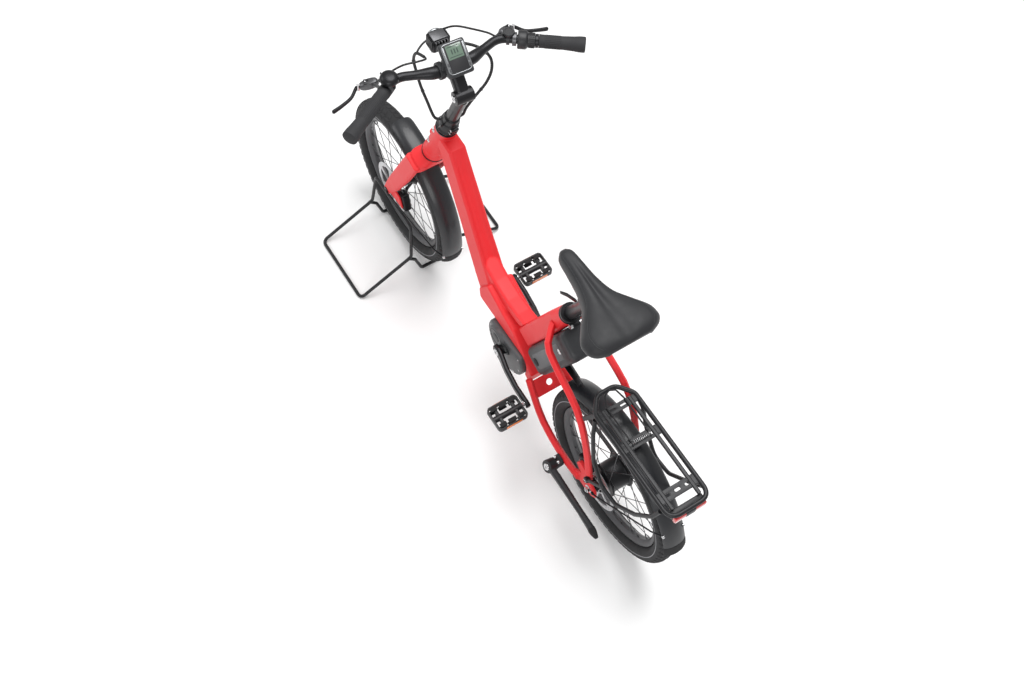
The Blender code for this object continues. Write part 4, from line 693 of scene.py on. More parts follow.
def hub_profile(shell, flange, flange_out, end, axle_radius=0.005, boss=0.011):
    """Half-section of a hub: axle end, boss, flange with its dished side, shell, and back."""
    half = [(0, end), (axle_radius, end), (axle_radius, end - 0.004), (boss - 0.0006, end - 0.004),
            (boss, end - 0.0048), (boss, flange_out + 0.007), (boss + 0.002, flange_out + 0.0055),
            (flange - 0.007, flange_out + 0.0035), (flange - 0.001, flange_out + 0.0030),
            (flange, flange_out + 0.0020), (flange, flange_out - 0.0020),
            (flange - 0.001, flange_out - 0.0028), (shell + 0.001, flange_out - 0.0050),
            (shell, flange_out - 0.007)]
    return [(r, -d) for r, d in half] + [(r, d) for r, d in reversed(half)]


def laced_wheel(name, axle, profile, flange, flange_out, lean):
    wheel = Form().turn(rim_profile(), axle, steps=144, finish=2)
    wheel.turn(profile, axle, steps=64)
    group = Form()
    for number in range(SPOKE_GROUP):
        spoke(group, axle, number, flange, flange_out, lean)
    wheel.take(ring_of(group, SPOKES // SPOKE_GROUP, axle, spoke_steel, (0, -1, 0)), 1)
    wheel.show("laced_" + name, [black_metal, spoke_steel, rim_metal], name, "black_metal", [name],
               sharp=35)


laced_wheel("front_wheel", FRONT_AXLE, hub_profile(0.015, 0.024, 0.028, 0.0497), 0.021, 0.028, 0.95)
laced_wheel("rear_wheel", REAR_AXLE, hub_profile(0.042, 0.050, 0.029, 0.0672, 0.005, 0.017),
            0.047, 0.029, 0.55)


# Brake discs
# Stamped stainless discs, 160 mm across: a drilled band on six swept arms, held to the hub by
# six bolts. The band is brushed round by the pads.

DISC_RADIUS = 0.080
DISC_BAND = 0.014
DISC_THICKNESS = 0.002
DISC_HOLES = 36
DISC_ARMS = 6
ARM_HALF = math.radians(5.5)


def disc_finish(name, axle):
    """Stainless steel, brushed in circles about the axle."""
    made = Finish(name, 0.3, 1.0)
    out = made.away_from(axle)
    wide = made.noise(15.0)
    made.feed("Base Color", made.blend(wide, (0.42, 0.42, 0.44), (0.60, 0.60, 0.61)))
    lines = made.node("ShaderNodeTexNoise", {"noise_dimensions": "1D"}, {"W": out, "Scale": 2600.0})
    made.vary_roughness(lines, 0.22, 0.42)
    return made.bump(lines, 0.00004)


def disc_window(number, bore):
    """The opening between two swept arms."""
    start = 2 * math.pi * number / DISC_ARMS
    inner, outer = bore + 0.010, DISC_RADIUS - DISC_BAND
    twist, pitch = 0.35, 2 * math.pi / DISC_ARMS
    count = 6
    points = []
    for i in range(count + 1):
        t = start + ARM_HALF * 2.4 + (pitch - ARM_HALF * 4.8) * i / count
        points.append((inner * math.cos(t), inner * math.sin(t)))
    for i in range(count + 1):
        t = start + twist + pitch - ARM_HALF - (pitch - ARM_HALF * 2) * i / count
        points.append((outer * math.cos(t), outer * math.sin(t)))
    return points


def brake_disc(name, axle, across, bore, body):
    holes = [ring_points(bore, 40)]
    holes += [disc_window(i, bore) for i in range(DISC_ARMS)]
    for i in range(DISC_HOLES):
        t = 2 * math.pi * i / DISC_HOLES
        out = DISC_RADIUS - DISC_BAND / 2 + (0.0036, 0.0, -0.0036)[i % 3]
        holes.append(ring_points(0.0018, 8, (out * math.cos(t), out * math.sin(t))))
    centre = axle + Vector((0, across, 0))
    finish = disc_finish(name + "_steel", axle)
    made = Form().take(pierced(ring_points(DISC_RADIUS, 120), holes, DISC_THICKNESS, centre,
                               (1, 0, 0), (0, 0, 1)))
    bolt = Form()
    bolt.turn([(0, 0.0), (0.0036, 0.0), (0.0036, 0.0022), (0.0030, 0.0028), (0.0016, 0.0028),
               (0.0016, 0.0012), (0, 0.0012)],
              centre + Vector((bore + 0.0052, DISC_THICKNESS / 2, 0)), (0, 1, 0), 12)
    made.take(ring_of(bolt, DISC_ARMS, centre, black_metal), 1)
    made.show("drilled_" + name, [finish, black_metal], body, "steel", [name], sharp=30)


brake_disc("front_rotor", FRONT_AXLE, 0.0405, 0.0113, "front_wheel")
brake_disc("rear_rotor", REAR_AXLE, 0.0520, 0.0173, "rear_wheel")


# Belt drive
# A toothed carbon belt runs from the pulley on the right crank to the one on the rear hub. Both
# pulleys are machined with teeth of the belt's pitch.

BELT_Y = -0.0525
BELT_WIDTH = 0.011
BELT_THICKNESS = 0.004
BELT_CLEAR = 0.0012
BELT_TOOTH = 0.0008
BELT_TEETH = 110
FRONT_PULLEY = 0.077
REAR_PULLEY = 0.035
FRONT_TEETH = 50
REAR_TEETH = 23
TOOTH_DEPTH = 0.0024

belt_rubber = plain_finish("belt_rubber", (0.020, 0.020, 0.021), 0.62)

# Blocks of one size, set along a curve and turned to follow it
path_tree = Tree("blocks_along_a_path", {"Count": "Int", "Size": "Vector", "Finish": "Material"})
spaced = path_tree.add("GeometryNodeResampleCurve", {"mode": "COUNT"},
                       {"Curve": "Shape", "Count": "Count"})
brick = path_tree.add("GeometryNodeMeshCube", links={"Size": "Size"})
tangent = path_tree.add("GeometryNodeInputTangent")
facing = path_tree.add("FunctionNodeAlignRotationToVector", {"axis": "X"},
                       {"Vector": tangent.outputs[0]})
bricks = path_tree.add("GeometryNodeInstanceOnPoints", links={
    "Points": spaced.outputs[0], "Instance": brick.outputs[0], "Rotation": facing.outputs[0]})
path_tree.close(bricks.outputs[0])


def along(points, count, size, finish, closed=False):
    """Blocks of a size along a line of points, as one mesh."""
    line = bpy.data.curves.new("block_line", "CURVE")
    line.dimensions = "3D"
    run = line.splines.new("POLY")
    run.points.add(len(points) - 1)
    for point, place in zip(run.points, points):
        point.co = (*place, 1)
    run.use_cyclic_u = closed
    return path_tree.grow(line, Count=count, Size=tuple(size), Finish=finish.material)


def belt_loop(grow, count=40):
    """The belt's side view at a distance outside both pulleys."""
    span = REAR_AXLE - BRACKET
    slope = math.atan2(span.z, span.x)
    wrap = math.acos((FRONT_PULLEY - REAR_PULLEY) / math.hypot(span.x, span.z))
    points = []
    for i in range(count + 1):
        t = slope + wrap + (2 * math.pi - 2 * wrap) * i / count
        reach = FRONT_PULLEY + grow
        points.append(BRACKET + Vector((reach * math.cos(t), BELT_Y, reach * math.sin(t))))
    for i in range(count + 1):
        t = slope - wrap + 2 * wrap * i / count
        reach = REAR_PULLEY + grow
        points.append(REAR_AXLE + Vector((reach * math.cos(t), BELT_Y, reach * math.sin(t))))
    return points


half = BELT_WIDTH / 2
belt_rings = []
for a, b in zip(belt_loop(BELT_CLEAR + BELT_TOOTH), belt_loop(BELT_CLEAR + BELT_THICKNESS)):
    across = Vector((0, half, 0))
    belt_rings.append([a - across, a + across, b + across, b - across])
tooth_line = belt_loop(BELT_CLEAR + BELT_TOOTH / 2 + 0.0001)
Form().skin(belt_rings, True).take(
    along(tooth_line, BELT_TEETH, (0.0055, BELT_WIDTH * 0.96, BELT_TOOTH), belt_rubber, True)).show(
    "toothed_belt", [belt_rubber], "frame", "black_rubber", ["belt"])


def toothed_wheel(centre, radius, bore, teeth):
    """A pulley's ring: a band with a tooth for each notch of the belt, between low flanges."""
    half = BELT_WIDTH / 2 + 0.0015
    root = radius - TOOTH_DEPTH
    wheel = Form().turn([(bore, -half), (radius - 0.0004, -half), (radius, -half + 0.0004),
                         (radius, -half + 0.0012), (root, -half + 0.0014), (root, half - 0.0014),
                         (radius, half - 0.0012), (radius, half - 0.0004),
                         (radius - 0.0004, half), (bore, half)], centre, steps=96)
    tooth = Form()
    pitch = 2 * math.pi * radius / teeth
    tooth.box((TOOTH_DEPTH + 0.001, pitch * 0.52, 2 * half - 0.002),
              centre + Vector((root + TOOTH_DEPTH / 2 - 0.0006, 0, 0)),
              Matrix(((1, 0, 0), (0, 0, 1), (0, -1, 0))), edge=0.0004, steps=1)
    return wheel.take(ring_of(tooth, teeth, centre, black_metal))


toothed_wheel(REAR_AXLE + Vector((0, BELT_Y, 0)), REAR_PULLEY, 0.0173, REAR_TEETH).show(
    "toothed_rear_pulley", [black_metal], "rear_wheel", "black_metal", ["rear_pulley"])
front_pulley = toothed_wheel(BRACKET + Vector((0, BELT_Y, 0)), FRONT_PULLEY, 0.060, FRONT_TEETH)


def spider_window(number, arms, inner, outer, arm):
    """The opening between two arms of the crank's spider."""
    pitch = 2 * math.pi / arms
    start = pitch * number
    points = []
    for i in range(7):
        t = start + math.asin(arm / inner) + (pitch - 2 * math.asin(arm / inner)) * i / 6
        points.append((inner * math.cos(t), inner * math.sin(t)))
    for i in range(13):
        t = start + pitch - math.asin(arm / outer) - (pitch - 2 * math.asin(arm / outer)) * i / 12
        points.append((outer * math.cos(t), outer * math.sin(t)))
    return points


front_pulley.take(pierced(ring_points(0.0640, 96), [ring_points(0.0155, 40)] + [
    spider_window(i, 5, 0.026, 0.0585, 0.0068) for i in range(5)], 0.006,
    BRACKET + Vector((0, BELT_Y, 0)), (1, 0, 0), (0, 0, 1), 0.0006))
front_pulley.show("toothed_front_pulley", [black_metal], "cranks", "black_metal", ["front_pulley"])


# Cranks and pedals
# Forged black arms on the motor's axle, each with a cap over its bolt. The pedals are flat
# cages with rubber treads and an amber reflector front and back.

CRANK_LENGTH = 0.170
CRANK_ROOT_Y = 0.0645
CRANK_TIP_Y = 0.084
CRANK_THICKNESS = 0.014
PEDAL_SIZE = (0.074, 0.092, 0.024)
PEDAL_MIDDLE_Y = 0.150
CAGE_WALL = 0.0045
TREAD_RUBBER = 0.0035

black_plastic = plain_finish("black_plastic", (0.012, 0.012, 0.014), 0.45)
black_rubber = plain_finish("black_rubber", (0.012, 0.012, 0.013), 0.80)
amber_lens = plain_finish("amber_lens", (0.85, 0.20, 0.012), 0.16, coat_weight=0.8)
facets = amber_lens.node("ShaderNodeTexVoronoi", values={"Vector": amber_lens.place, "Scale": 420.0})
amber_lens.bump(facets, 0.0006)

for side_name, ahead in (("left", -1), ("right", 1)):
    side = SIDES[side_name]
    arm = Form().take(welded("crank_" + side_name, 0.0012, 6))
    face = side * (CRANK_ROOT_Y + CRANK_THICKNESS)
    arm.turn([(0, -0.001), (0.0105, -0.001), (0.0105, 0.0010), (0.0095, 0.0022), (0.0042, 0.0022),
              (0.0042, 0.0006), (0, 0.0006)], BRACKET + Vector((0, face, 0)), (0, side, 0), 32, 1)
    eye = BRACKET + Vector((ahead * CRANK_LENGTH, side * (CRANK_TIP_Y + CRANK_THICKNESS), 0))
    arm.turn([(0, -0.001), (0.0100, -0.001), (0.0100, 0.0002), (0.0070, 0.0002), (0, 0.0002)], eye,
             (0, side, 0), 32, 1)
    arm.show("forged_crank_" + side_name, [black_metal, bright_steel], "cranks", "black_metal",
             ["crank_" + side_name], sharp=60)

    centre = BRACKET + Vector((ahead * CRANK_LENGTH, side * PEDAL_MIDDLE_Y, 0))
    length, width, height = PEDAL_SIZE
    pedal = Form()
    lx, ly = length / 2 - CAGE_WALL / 2, width / 2 - CAGE_WALL / 2
    corner = 0.009
    loop = [centre + Vector((a, b, 0)) for a, b in oblong(2 * lx, 2 * ly, corner, 6)]
    pedal.run(loop, oblong(CAGE_WALL, height * 0.72, 0.0014, 2), (1, 0, 0), True)
    for across in (-0.27, 0.27):
        pedal.box((length - 2 * CAGE_WALL, 0.009, height * 0.62), centre + Vector((0, across * width, 0)),
                  edge=0.0018)
    pedal.turn([(0, -width * 0.46), (0.0085, -width * 0.46), (0.0092, -width * 0.30), (0.0080, 0),
                (0.0092, width * 0.30), (0.0085, width * 0.46), (0, width * 0.46)], centre,
               (0, 1, 0), 32)
    for along_x in (-1, 1):
        for across in (-1, 0, 1):
            long = 0.020 if across else 0.024
            for up in (-1, 1):
                place = centre + Vector((along_x * (length / 2 - 0.0115), across * 0.0285,
                                         up * (height / 2 - TREAD_RUBBER / 2)))
                pedal.box((0.0120, long, TREAD_RUBBER), place, finish=1, edge=0.0010)
                for rib in (-1, 1):
                    pedal.box((0.0014, long * 0.84, 0.0012),
                              place + Vector((rib * 0.003, 0, up * 0.0016)), finish=1, edge=0.0003)
        pedal.box((0.0030, 0.050, 0.0125), centre + Vector((along_x * (length / 2 - 0.0004), 0, 0)),
                  finish=2, edge=0.0008)
        pedal.box((0.0036, 0.056, 0.0165), centre + Vector((along_x * (length / 2 - 0.0022), 0, 0)),
                  edge=0.0012)
    start = side * (CRANK_TIP_Y + CRANK_THICKNESS + 0.0003)
    neck = Vector((centre.x, 0, centre.z))
    inner = abs(centre.y) - width / 2
    pedal.turn([(0, abs(start)), (0.0065, abs(start)), (0.0065, inner - 0.001),
                (0.0085, inner), (0.0085, inner + 0.004), (0, inner + 0.004)], neck, (0, side, 0), 6, 3)
    pedal.show("cage_pedal_" + side_name, [black_plastic, black_rubber, amber_lens, bright_steel],
               "pedal_" + side_name, "black_plastic", ["pedal_" + side_name], sharp=35)


# Motor
# A cast housing hangs in the cradle. Its left cover is satin grey, with a round cap ahead of
# the axle and a row of socket screws near its edge.

MOTOR_COVER_Y = 0.052
MOTOR_CAP = at(0.036, MOTOR_COVER_Y + 0.006, 0.298)

grey_shell = plain_finish("satin_grey_shell", (0.085, 0.086, 0.090), 0.46, 0.15)
dark_shell = plain_finish("dark_shell", (0.022, 0.023, 0.026), 0.48)

motor = Form().take(welded("motor", 0.0016, 4))
motor.turn([(0.0290, -0.002), (0.0290, 0.0003), (0.0285, 0.0008), (0.0262, 0.0008),
            (0.0257, 0.0003), (0.0257, -0.002)], MOTOR_CAP, (0, 1, 0), 72, 1)
motor.turn([(0, -0.001), (0.0150, -0.001), (0.0150, 0.0006), (0.0140, 0.0011), (0, 0.0011)],
           MOTOR_CAP, (0, 1, 0), 48, 1)
screw = Form().turn([(0, -0.001), (0.0030, -0.001), (0.0030, 0.0009), (0.0024, 0.0013),
                     (0.0013, 0.0013), (0.0013, 0.0004), (0, 0.0004)],
                    BRACKET + Vector((0.0745 * math.cos(0.35), MOTOR_COVER_Y, 0.0745 * math.sin(0.35))),
                    (0, 1, 0), 12)
motor.take(ring_of(screw, 7, BRACKET, bright_steel, (0, 1, 0), math.radians(266)), 2)
motor.turn([(0.0220, -0.0375), (0.0220, -0.0352), (0.0160, -0.0352), (0.0160, -0.0375)],
           BRACKET, (0, 1, 0), 48, 1)
motor.turn([(0.0225, MOTOR_COVER_Y - 0.001), (0.0225, MOTOR_COVER_Y + 0.0024),
            (0.0205, MOTOR_COVER_Y + 0.0034), (0.0165, MOTOR_COVER_Y + 0.0034),
            (0.0165, MOTOR_COVER_Y - 0.001)], BRACKET, (0, 1, 0), 48, 1)
motor.show("cast_motor", [grey_shell, dark_shell, bright_steel], "frame", "grey_plastic", ["motor"],
           sharp=50)


# Battery
# A tall moulded case stands behind the seat tube, between the stays. It has a lighter panel on
# each side, a carrying grip across its top, a lock and a covered charging socket.

BATTERY_BACK = (0.0293, 0.114)
BATTERY_SPAN = (0.128, 0.440)
BATTERY_HALF_WIDTH = 0.042
PANEL_RISE = 0.0007

panel_grey = plain_finish("battery_panel", (0.075, 0.077, 0.083), 0.42)

battery = Form()
front, back = BATTERY_BACK
low, high = BATTERY_SPAN
rings = []
for up, trim in ((low, 0.014), (low + 0.003, 0.006), (low + 0.008, 0.0015), (low + 0.014, 0.0),
                 (0.250, 0.0), (high - 0.034, 0.0), (high - 0.018, 0.001), (high - 0.009, 0.004),
                 (high - 0.003, 0.009), (high, 0.018)):
    depth = back - front - trim
    section = oblong(2 * (BATTERY_HALF_WIDTH - trim / 2), depth, 0.018, 8)
    rings.append([on_seat(up, front + depth / 2 + b, a) for a, b in section])
battery.skin(rings)
middle_back = (front + back) / 2
for side in SIDES.values():
    rings = []
    for sink, trim in ((-0.001, 0.0), (PANEL_RISE * 0.6, 0.0), (PANEL_RISE, 0.0008)):
        y = side * (BATTERY_HALF_WIDTH + sink - 0.00005)
        panel = oblong(0.0440 - 2 * trim, 0.2300 - 2 * trim, 0.008 - trim, 5)
        rings.append([on_seat((low + high) / 2 - 0.010 + b, middle_back + a, y) for a, b in panel])
    battery.skin(rings, finish=1)
lock = on_seat(high - 0.060, middle_back, BATTERY_HALF_WIDTH)
battery.turn([(0, -0.002), (0.0085, -0.002), (0.0085, 0.0012), (0.0072, 0.0018), (0.0015, 0.0018),
              (0.0015, 0.0008), (0, 0.0008)], lock, (0, 1, 0), 32, 2)
socket = on_seat(low + 0.040, middle_back, BATTERY_HALF_WIDTH)
battery.turn([(0, -0.002), (0.0125, -0.002), (0.0125, 0.0014), (0.0115, 0.0022), (0, 0.0022)],
             socket, (0, 1, 0), 32, 3)
grip_line = [on_seat(high - 0.006, middle_back - 0.016, a) for a in (-0.020, 0.0, 0.020)]
battery.run(grip_line, oblong(0.010, 0.005, 0.0022, 3), SEAT_BACK, finish=3)
battery.show("battery_case", [dark_shell, panel_grey, bright_steel, black_rubber], "frame",
             "dark_plastic", ["battery_pack"], sharp=40)


# Seat post and clamp
# The clamp closes with a curved lever on the right. The post is a grey anodised tube with a
# forged head, which two bolts hold to the saddle's rails.

SEAT_TUBE_TOP = 0.455
CLAMP_HEIGHT = 0.022
POST_RADIUS = 0.0168
RAIL_HEIGHT = 0.889
RAIL_RADIUS = 0.0035
RAIL_Y = 0.021
POST_TOP = 0.640
post_x = on_seat(POST_TOP).x

post_metal = plain_finish("grey_anodised_post", (0.050, 0.051, 0.055), 0.34, 0.7)

clamp = Form().turn([
    (POST_RADIUS + 0.0003, SEAT_TUBE_TOP + 0.0003), (0.0252, SEAT_TUBE_TOP + 0.0003),
    (0.0262, SEAT_TUBE_TOP + 0.0014), (0.0265, SEAT_TUBE_TOP + 0.0045),
    (0.0255, SEAT_TUBE_TOP + 0.0060), (0.0255, SEAT_TUBE_TOP + CLAMP_HEIGHT - 0.0060),
    (0.0265, SEAT_TUBE_TOP + CLAMP_HEIGHT - 0.0045), (0.0262, SEAT_TUBE_TOP + CLAMP_HEIGHT - 0.0020),
    (0.0245, SEAT_TUBE_TOP + CLAMP_HEIGHT), (POST_RADIUS + 0.0003, SEAT_TUBE_TOP + CLAMP_HEIGHT)],
    BRACKET, SEAT_UP, 72)
ear = on_seat(SEAT_TUBE_TOP + CLAMP_HEIGHT / 2, 0.029, 0)
clamp.box((0.014, 0.020, 0.016), ear, Matrix.Rotation(-(math.pi / 2 - SEAT_ANGLE), 3, "Y"), edge=0.002)
clamp.turn([(0, -0.020), (0.0035, -0.020), (0.0060, -0.018), (0.0060, -0.010), (0.0060, 0.010),
            (0.0075, 0.012), (0.0075, 0.018), (0, 0.018)], ear, (0, 1, 0), 24, 1)
lever_path = [ear + Vector(p) for p in ((0.0, -0.020, 0.0), (0.022, -0.0325, 0.006),
                                        (0.052, -0.0320, 0.006), (0.077, -0.026, 0.0),
                                        (0.096, -0.020, -0.010))]
clamp.run(lever_path, [oblong(0.006, 0.010, 0.0026), oblong(0.0045, 0.011, 0.0022),
                       oblong(0.0042, 0.012, 0.0020), oblong(0.0042, 0.012, 0.0020),
                       oblong(0.0032, 0.009, 0.0015)], (0, 1, 0))
clamp.show("lever_seat_clamp", [black_metal, bright_steel], "frame", "black_metal", ["seat_clamp"])

post = Form().turn([(0, SEAT_TUBE_TOP - 0.120), (POST_RADIUS - 0.001, SEAT_TUBE_TOP - 0.120),
                    (POST_RADIUS, SEAT_TUBE_TOP - 0.118), (POST_RADIUS, POST_TOP - 0.020),
                    (POST_RADIUS + 0.0012, POST_TOP - 0.014), (POST_RADIUS + 0.0012, POST_TOP - 0.006),
                    (POST_RADIUS - 0.002, POST_TOP), (0, POST_TOP)], BRACKET, SEAT_UP, 64)
head_z = RAIL_HEIGHT - RAIL_RADIUS - 0.0003
post.box((0.042, 0.050, 0.012), (post_x, 0, head_z - 0.0145), edge=0.004, steps=4)
post.box((0.044, 0.056, 0.0075), (post_x, 0, head_z - 0.0040), edge=0.002, steps=3, finish=1)
for ahead in (-1, 1):
    post.turn([(0, -0.009), (0.0032, -0.009), (0.0032, 0.006), (0, 0.006)],
              (post_x + ahead * 0.015, 0, head_z - 0.010), (0, 0, 1), 16, 2)
post.show("anodised_seat_post", [post_metal, black_metal, bright_steel], "frame", "grey_plastic",
          ["seat_post"])


# Saddle
# Moulded foam under a soft matt cover, with a shallow channel down its middle and wide wings.
# A seam runs round the top panel, with a row of stitches beside it, and the base is a plastic
# shell on two steel rails.

SADDLE_TOP = 0.940
SADDLE_NOSE_X = -0.120
SADDLE_STATIONS = (
    # behind the nose, half width, crown below the top, depth of the side, channel depth
    (0.000, 0.010, 0.016, 0.016, 0.0),
    (0.012, 0.019, 0.008, 0.030, 0.0),
    (0.050, 0.023, 0.003, 0.040, 0.002),
    (0.100, 0.029, 0.004, 0.044, 0.005),
    (0.145, 0.044, 0.005, 0.048, 0.006),
    (0.185, 0.074, 0.003, 0.050, 0.006),
    (0.218, 0.096, 0.000, 0.050, 0.006),
    (0.245, 0.098, 0.000, 0.044, 0.006),
    (0.263, 0.085, 0.004, 0.036, 0.005),
    (0.275, 0.060, 0.012, 0.020, 0.003),
)
SADDLE_RUN = 48
SEAM_SHARE = 0.80


def flow(points, steps=8):
    """A smooth curve through points of any number of values."""
    points = [Vector(p) for p in points]
    path = []
    for i in range(len(points) - 1):
        p0, p1 = points[max(i - 1, 0)], points[i]
        p2, p3 = points[i + 1], points[min(i + 2, len(points) - 1)]
        for j in range(steps):
            t = j / steps
            path.append(0.5 * (2 * p1 + (p2 - p0) * t + (2 * p0 - 5 * p1 + 4 * p2 - p3) * t ** 2
                               + (3 * p1 - p0 - 3 * p2 + p3) * t ** 3))
    path.append(points[-1])
    return path


def blended(stations, position):
    """The values at a position between stations, eased so that no band shows."""
    for i in range(len(stations) - 1):
        if position <= stations[i + 1][0] or i == len(stations) - 2:
            break
    p0 = stations[max(i - 1, 0)]
    p1, p2 = stations[i], stations[i + 1]
    p3 = stations[min(i + 2, len(stations) - 1)]
    span = p2[0] - p1[0]
    t = min(1.0, max(0.0, (position - p1[0]) / span))
    values = []
    for k in range(1, len(p1)):
        slope1 = (p2[k] - p0[k]) / max(p2[0] - p0[0], 1e-6) * span
        slope2 = (p3[k] - p1[k]) / max(p3[0] - p1[0], 1e-6) * span
        if (p2[k] - p1[k]) * slope1 < 0:
            slope1 = 0.0
        if (p2[k] - p1[k]) * slope2 < 0:
            slope2 = 0.0
        values.append((2 * t ** 3 - 3 * t ** 2 + 1) * p1[k] + (t ** 3 - 2 * t ** 2 + t) * slope1
                      + (-2 * t ** 3 + 3 * t ** 2) * p2[k] + (t ** 3 - t ** 2) * slope2)
    return values


SADDLE_SIDE = ((0.0, 0.0), (0.22, 0.02), (0.5, 0.05), (0.8, 0.19), (0.95, 0.45), (1.0, 0.75),
               (0.95, 1.0))


def saddle_point(behind, share, side=1, lift=0.0):
    """A point of the cover at a share of the way from the middle round to its lower edge."""
    half, drop, depth, channel = blended(SADDLE_STATIONS, behind)
    position = share * (len(SADDLE_SIDE) - 1)
    steps = [(k, *pair) for k, pair in enumerate(SADDLE_SIDE)]
    out, fall = blended(steps, position)
    hollow = channel * math.exp(-(out / 0.17) ** 2)
    z = SADDLE_TOP - drop - fall * depth - hollow + lift
    return at(SADDLE_NOSE_X - behind, side * out * half, z)


saddle_cover = Finish("soft_saddle_cover", 0.55, sheen_weight=0.10, sheen_roughness=0.5,
                      specular_ior_level=0.40)
rub = saddle_cover.noise(14.0, 3.0)
saddle_cover.feed("Base Color", saddle_cover.blend(rub, (0.009, 0.0094, 0.011), (0.015, 0.0154, 0.018)))
pores = saddle_cover.node("ShaderNodeTexVoronoi", {"feature": "DISTANCE_TO_EDGE"},
                          {"Vector": saddle_cover.place, "Scale": 520.0})
saddle_cover.vary_roughness(saddle_cover.noise(50.0), 0.48, 0.62)
saddle_cover.bump(pores + saddle_cover.noise(1300.0) * 0.3, 0.00022, 0.5)
thread = plain_finish("cover_thread", (0.030, 0.031, 0.034), 0.7)

AROUND = 18
saddle = Form()
rings = []
length = SADDLE_STATIONS[-1][0]
for i in range(SADDLE_RUN + 1):
    s = i / SADDLE_RUN
    behind = length * (s + 0.055 * math.sin(2 * math.pi * s) * -1)
    right_side = [saddle_point(behind, j / AROUND, -1) for j in range(AROUND + 1)]
    left_side = [saddle_point(behind, j / AROUND, 1) for j in range(AROUND, 0, -1)]
    half, drop, depth, channel = blended(SADDLE_STATIONS, behind)
    floor_z = SADDLE_TOP - drop - depth + 0.0045
    foot = [at(SADDLE_NOSE_X - behind, share * half, floor_z) for share in (-0.84, -0.5, 0.0, 0.5, 0.84)]
    rings.append(right_side + foot + left_side)
saddle.skin(rings)
round_path = []
for side in (1, -1):
    path = []
    for i in range(41):
        behind = length * (0.06 + 0.90 * i / 40)
        path.append(saddle_point(behind, SEAM_SHARE * (0.60 - 0.03 * math.cos(math.pi * i / 40)), side,
                                 0.0002))
    round_path.append(path)
    saddle.run(path, disc(0.0007, 6), (0, 1, 0), finish=1)
    beside = [saddle_point(length * (0.06 + 0.90 * i / 40),
                           SEAM_SHARE * (0.60 - 0.03 * math.cos(math.pi * i / 40)) - 0.028, side, 0.0001)
              for i in range(41)]
    saddle.take(along(beside, 88, (0.0022, 0.0006, 0.0005), thread), 1)
cover = saddle.show("padded_saddle", [saddle_cover, thread], "frame", "saddle_cover", ["saddle"], sharp=75)

base = Form()
rings = []
for i in range(33):
    behind = length * (0.02 + 0.96 * i / 32)
    half, drop, depth, channel = blended(SADDLE_STATIONS, behind)
    z = SADDLE_TOP - drop - depth
    rings.append([at(SADDLE_NOSE_X - behind, share * half * 0.90, z + up) for share, up in
                  ((-1, 0.006), (-0.98, 0.0015), (-0.6, 0.0), (0, -0.0006), (0.6, 0.0), (0.98, 0.0015),
                   (1, 0.006))])
base.skin(rings)
for side in SIDES.values():
    rail = flow([at(-0.150, side * 0.012, 0.909), at(-0.178, side * 0.0165, 0.899),
                 at(-0.205, side * RAIL_Y, RAIL_HEIGHT), at(-0.248, side * RAIL_Y, RAIL_HEIGHT),
                 at(-0.290, side * RAIL_Y, RAIL_HEIGHT), at(-0.318, side * 0.0255, 0.897),
                 at(-0.345, side * 0.030, 0.906)], 6)
    base.run(rail, disc(RAIL_RADIUS, 16), (0, 1, 0), finish=1)
    base.box((0.026, 0.014, 0.012), at(-0.350, side * 0.031, 0.9055), edge=0.003)
base.show("saddle_base", [black_plastic, bright_steel], "frame", "black_plastic")


# Fork
# A rigid aluminium fork with wide flat blades, painted with the frame. Black caps close the ends
# of its axle, and steel cap nuts hold the rear axle in the dropouts.

FORK_OUT = 0.0605

Form().take(welded("fork", 0.0017, 5)).show("painted_fork", [coral_paint], "steering", "red_paint",
                                            ["fork"], sharp=80)
ends = Form()
for side in SIDES.values():
    ends.turn([(0, FORK_OUT - 0.003), (0.0100, FORK_OUT - 0.003), (0.0100, FORK_OUT + 0.0012),
               (0.0085, FORK_OUT + 0.0034), (0.0042, FORK_OUT + 0.0034), (0.0042, FORK_OUT + 0.0012),
               (0, FORK_OUT + 0.0012)], FRONT_AXLE, (0, side, 0), 32)
ends.show("front_axle_ends", [black_metal], "steering", "black_metal")
nuts = Form()
for side in SIDES.values():
    nuts.turn([(0, 0.0700), (0.0125, 0.0700), (0.0125, 0.0768), (0, 0.0768)], REAR_AXLE,
              (0, side, 0), 40)
    nuts.turn([(0, 0.0765), (0.0092, 0.0765), (0.0092, 0.0830), (0.0080, 0.0840), (0, 0.0840)],
              REAR_AXLE, (0, side, 0), 6)
    nuts.turn([(0, 0.0835), (0.0048, 0.0835), (0.0048, 0.0862), (0.0040, 0.0868), (0, 0.0868)],
              REAR_AXLE, (0, side, 0), 20)
nuts.show("rear_axle_nuts", [bright_steel], "frame", "steel")


# Fenders
# Satin black plastic guards with rolled edges, each held by a bent wire on both sides and by a
# tab above the wheel. Both end in a soft flap.

FENDER_RADIUS = 0.284
FENDER_HALF_WIDTH = 0.0325
FENDER_THICKNESS = 0.0025
FENDER_CROWN = 0.010
WIRE_RADIUS = 0.0022
FRONT_GUARD_SPAN = (88, 190)
REAR_GUARD_SPAN = (38, 163)
REAR_FLAP_END = 166
CROWN_TAB_ANGLE = 116
CROWN_TAB_HEIGHT = 0.588
CROWN_BACK = 0.0203
RACK_TAB_ANGLE = 100.6
RACK_TAB_TOP = 0.5975
STRUT_ANGLE = 48.9
STRUT_SEAT = (0.250, 0.1149)
TAB_SECTION = (0.016, 0.003, 0.001)

fender_black = plain_finish("satin_fender_black", (0.012, 0.013, 0.016), 0.36, coat_weight=0.15)


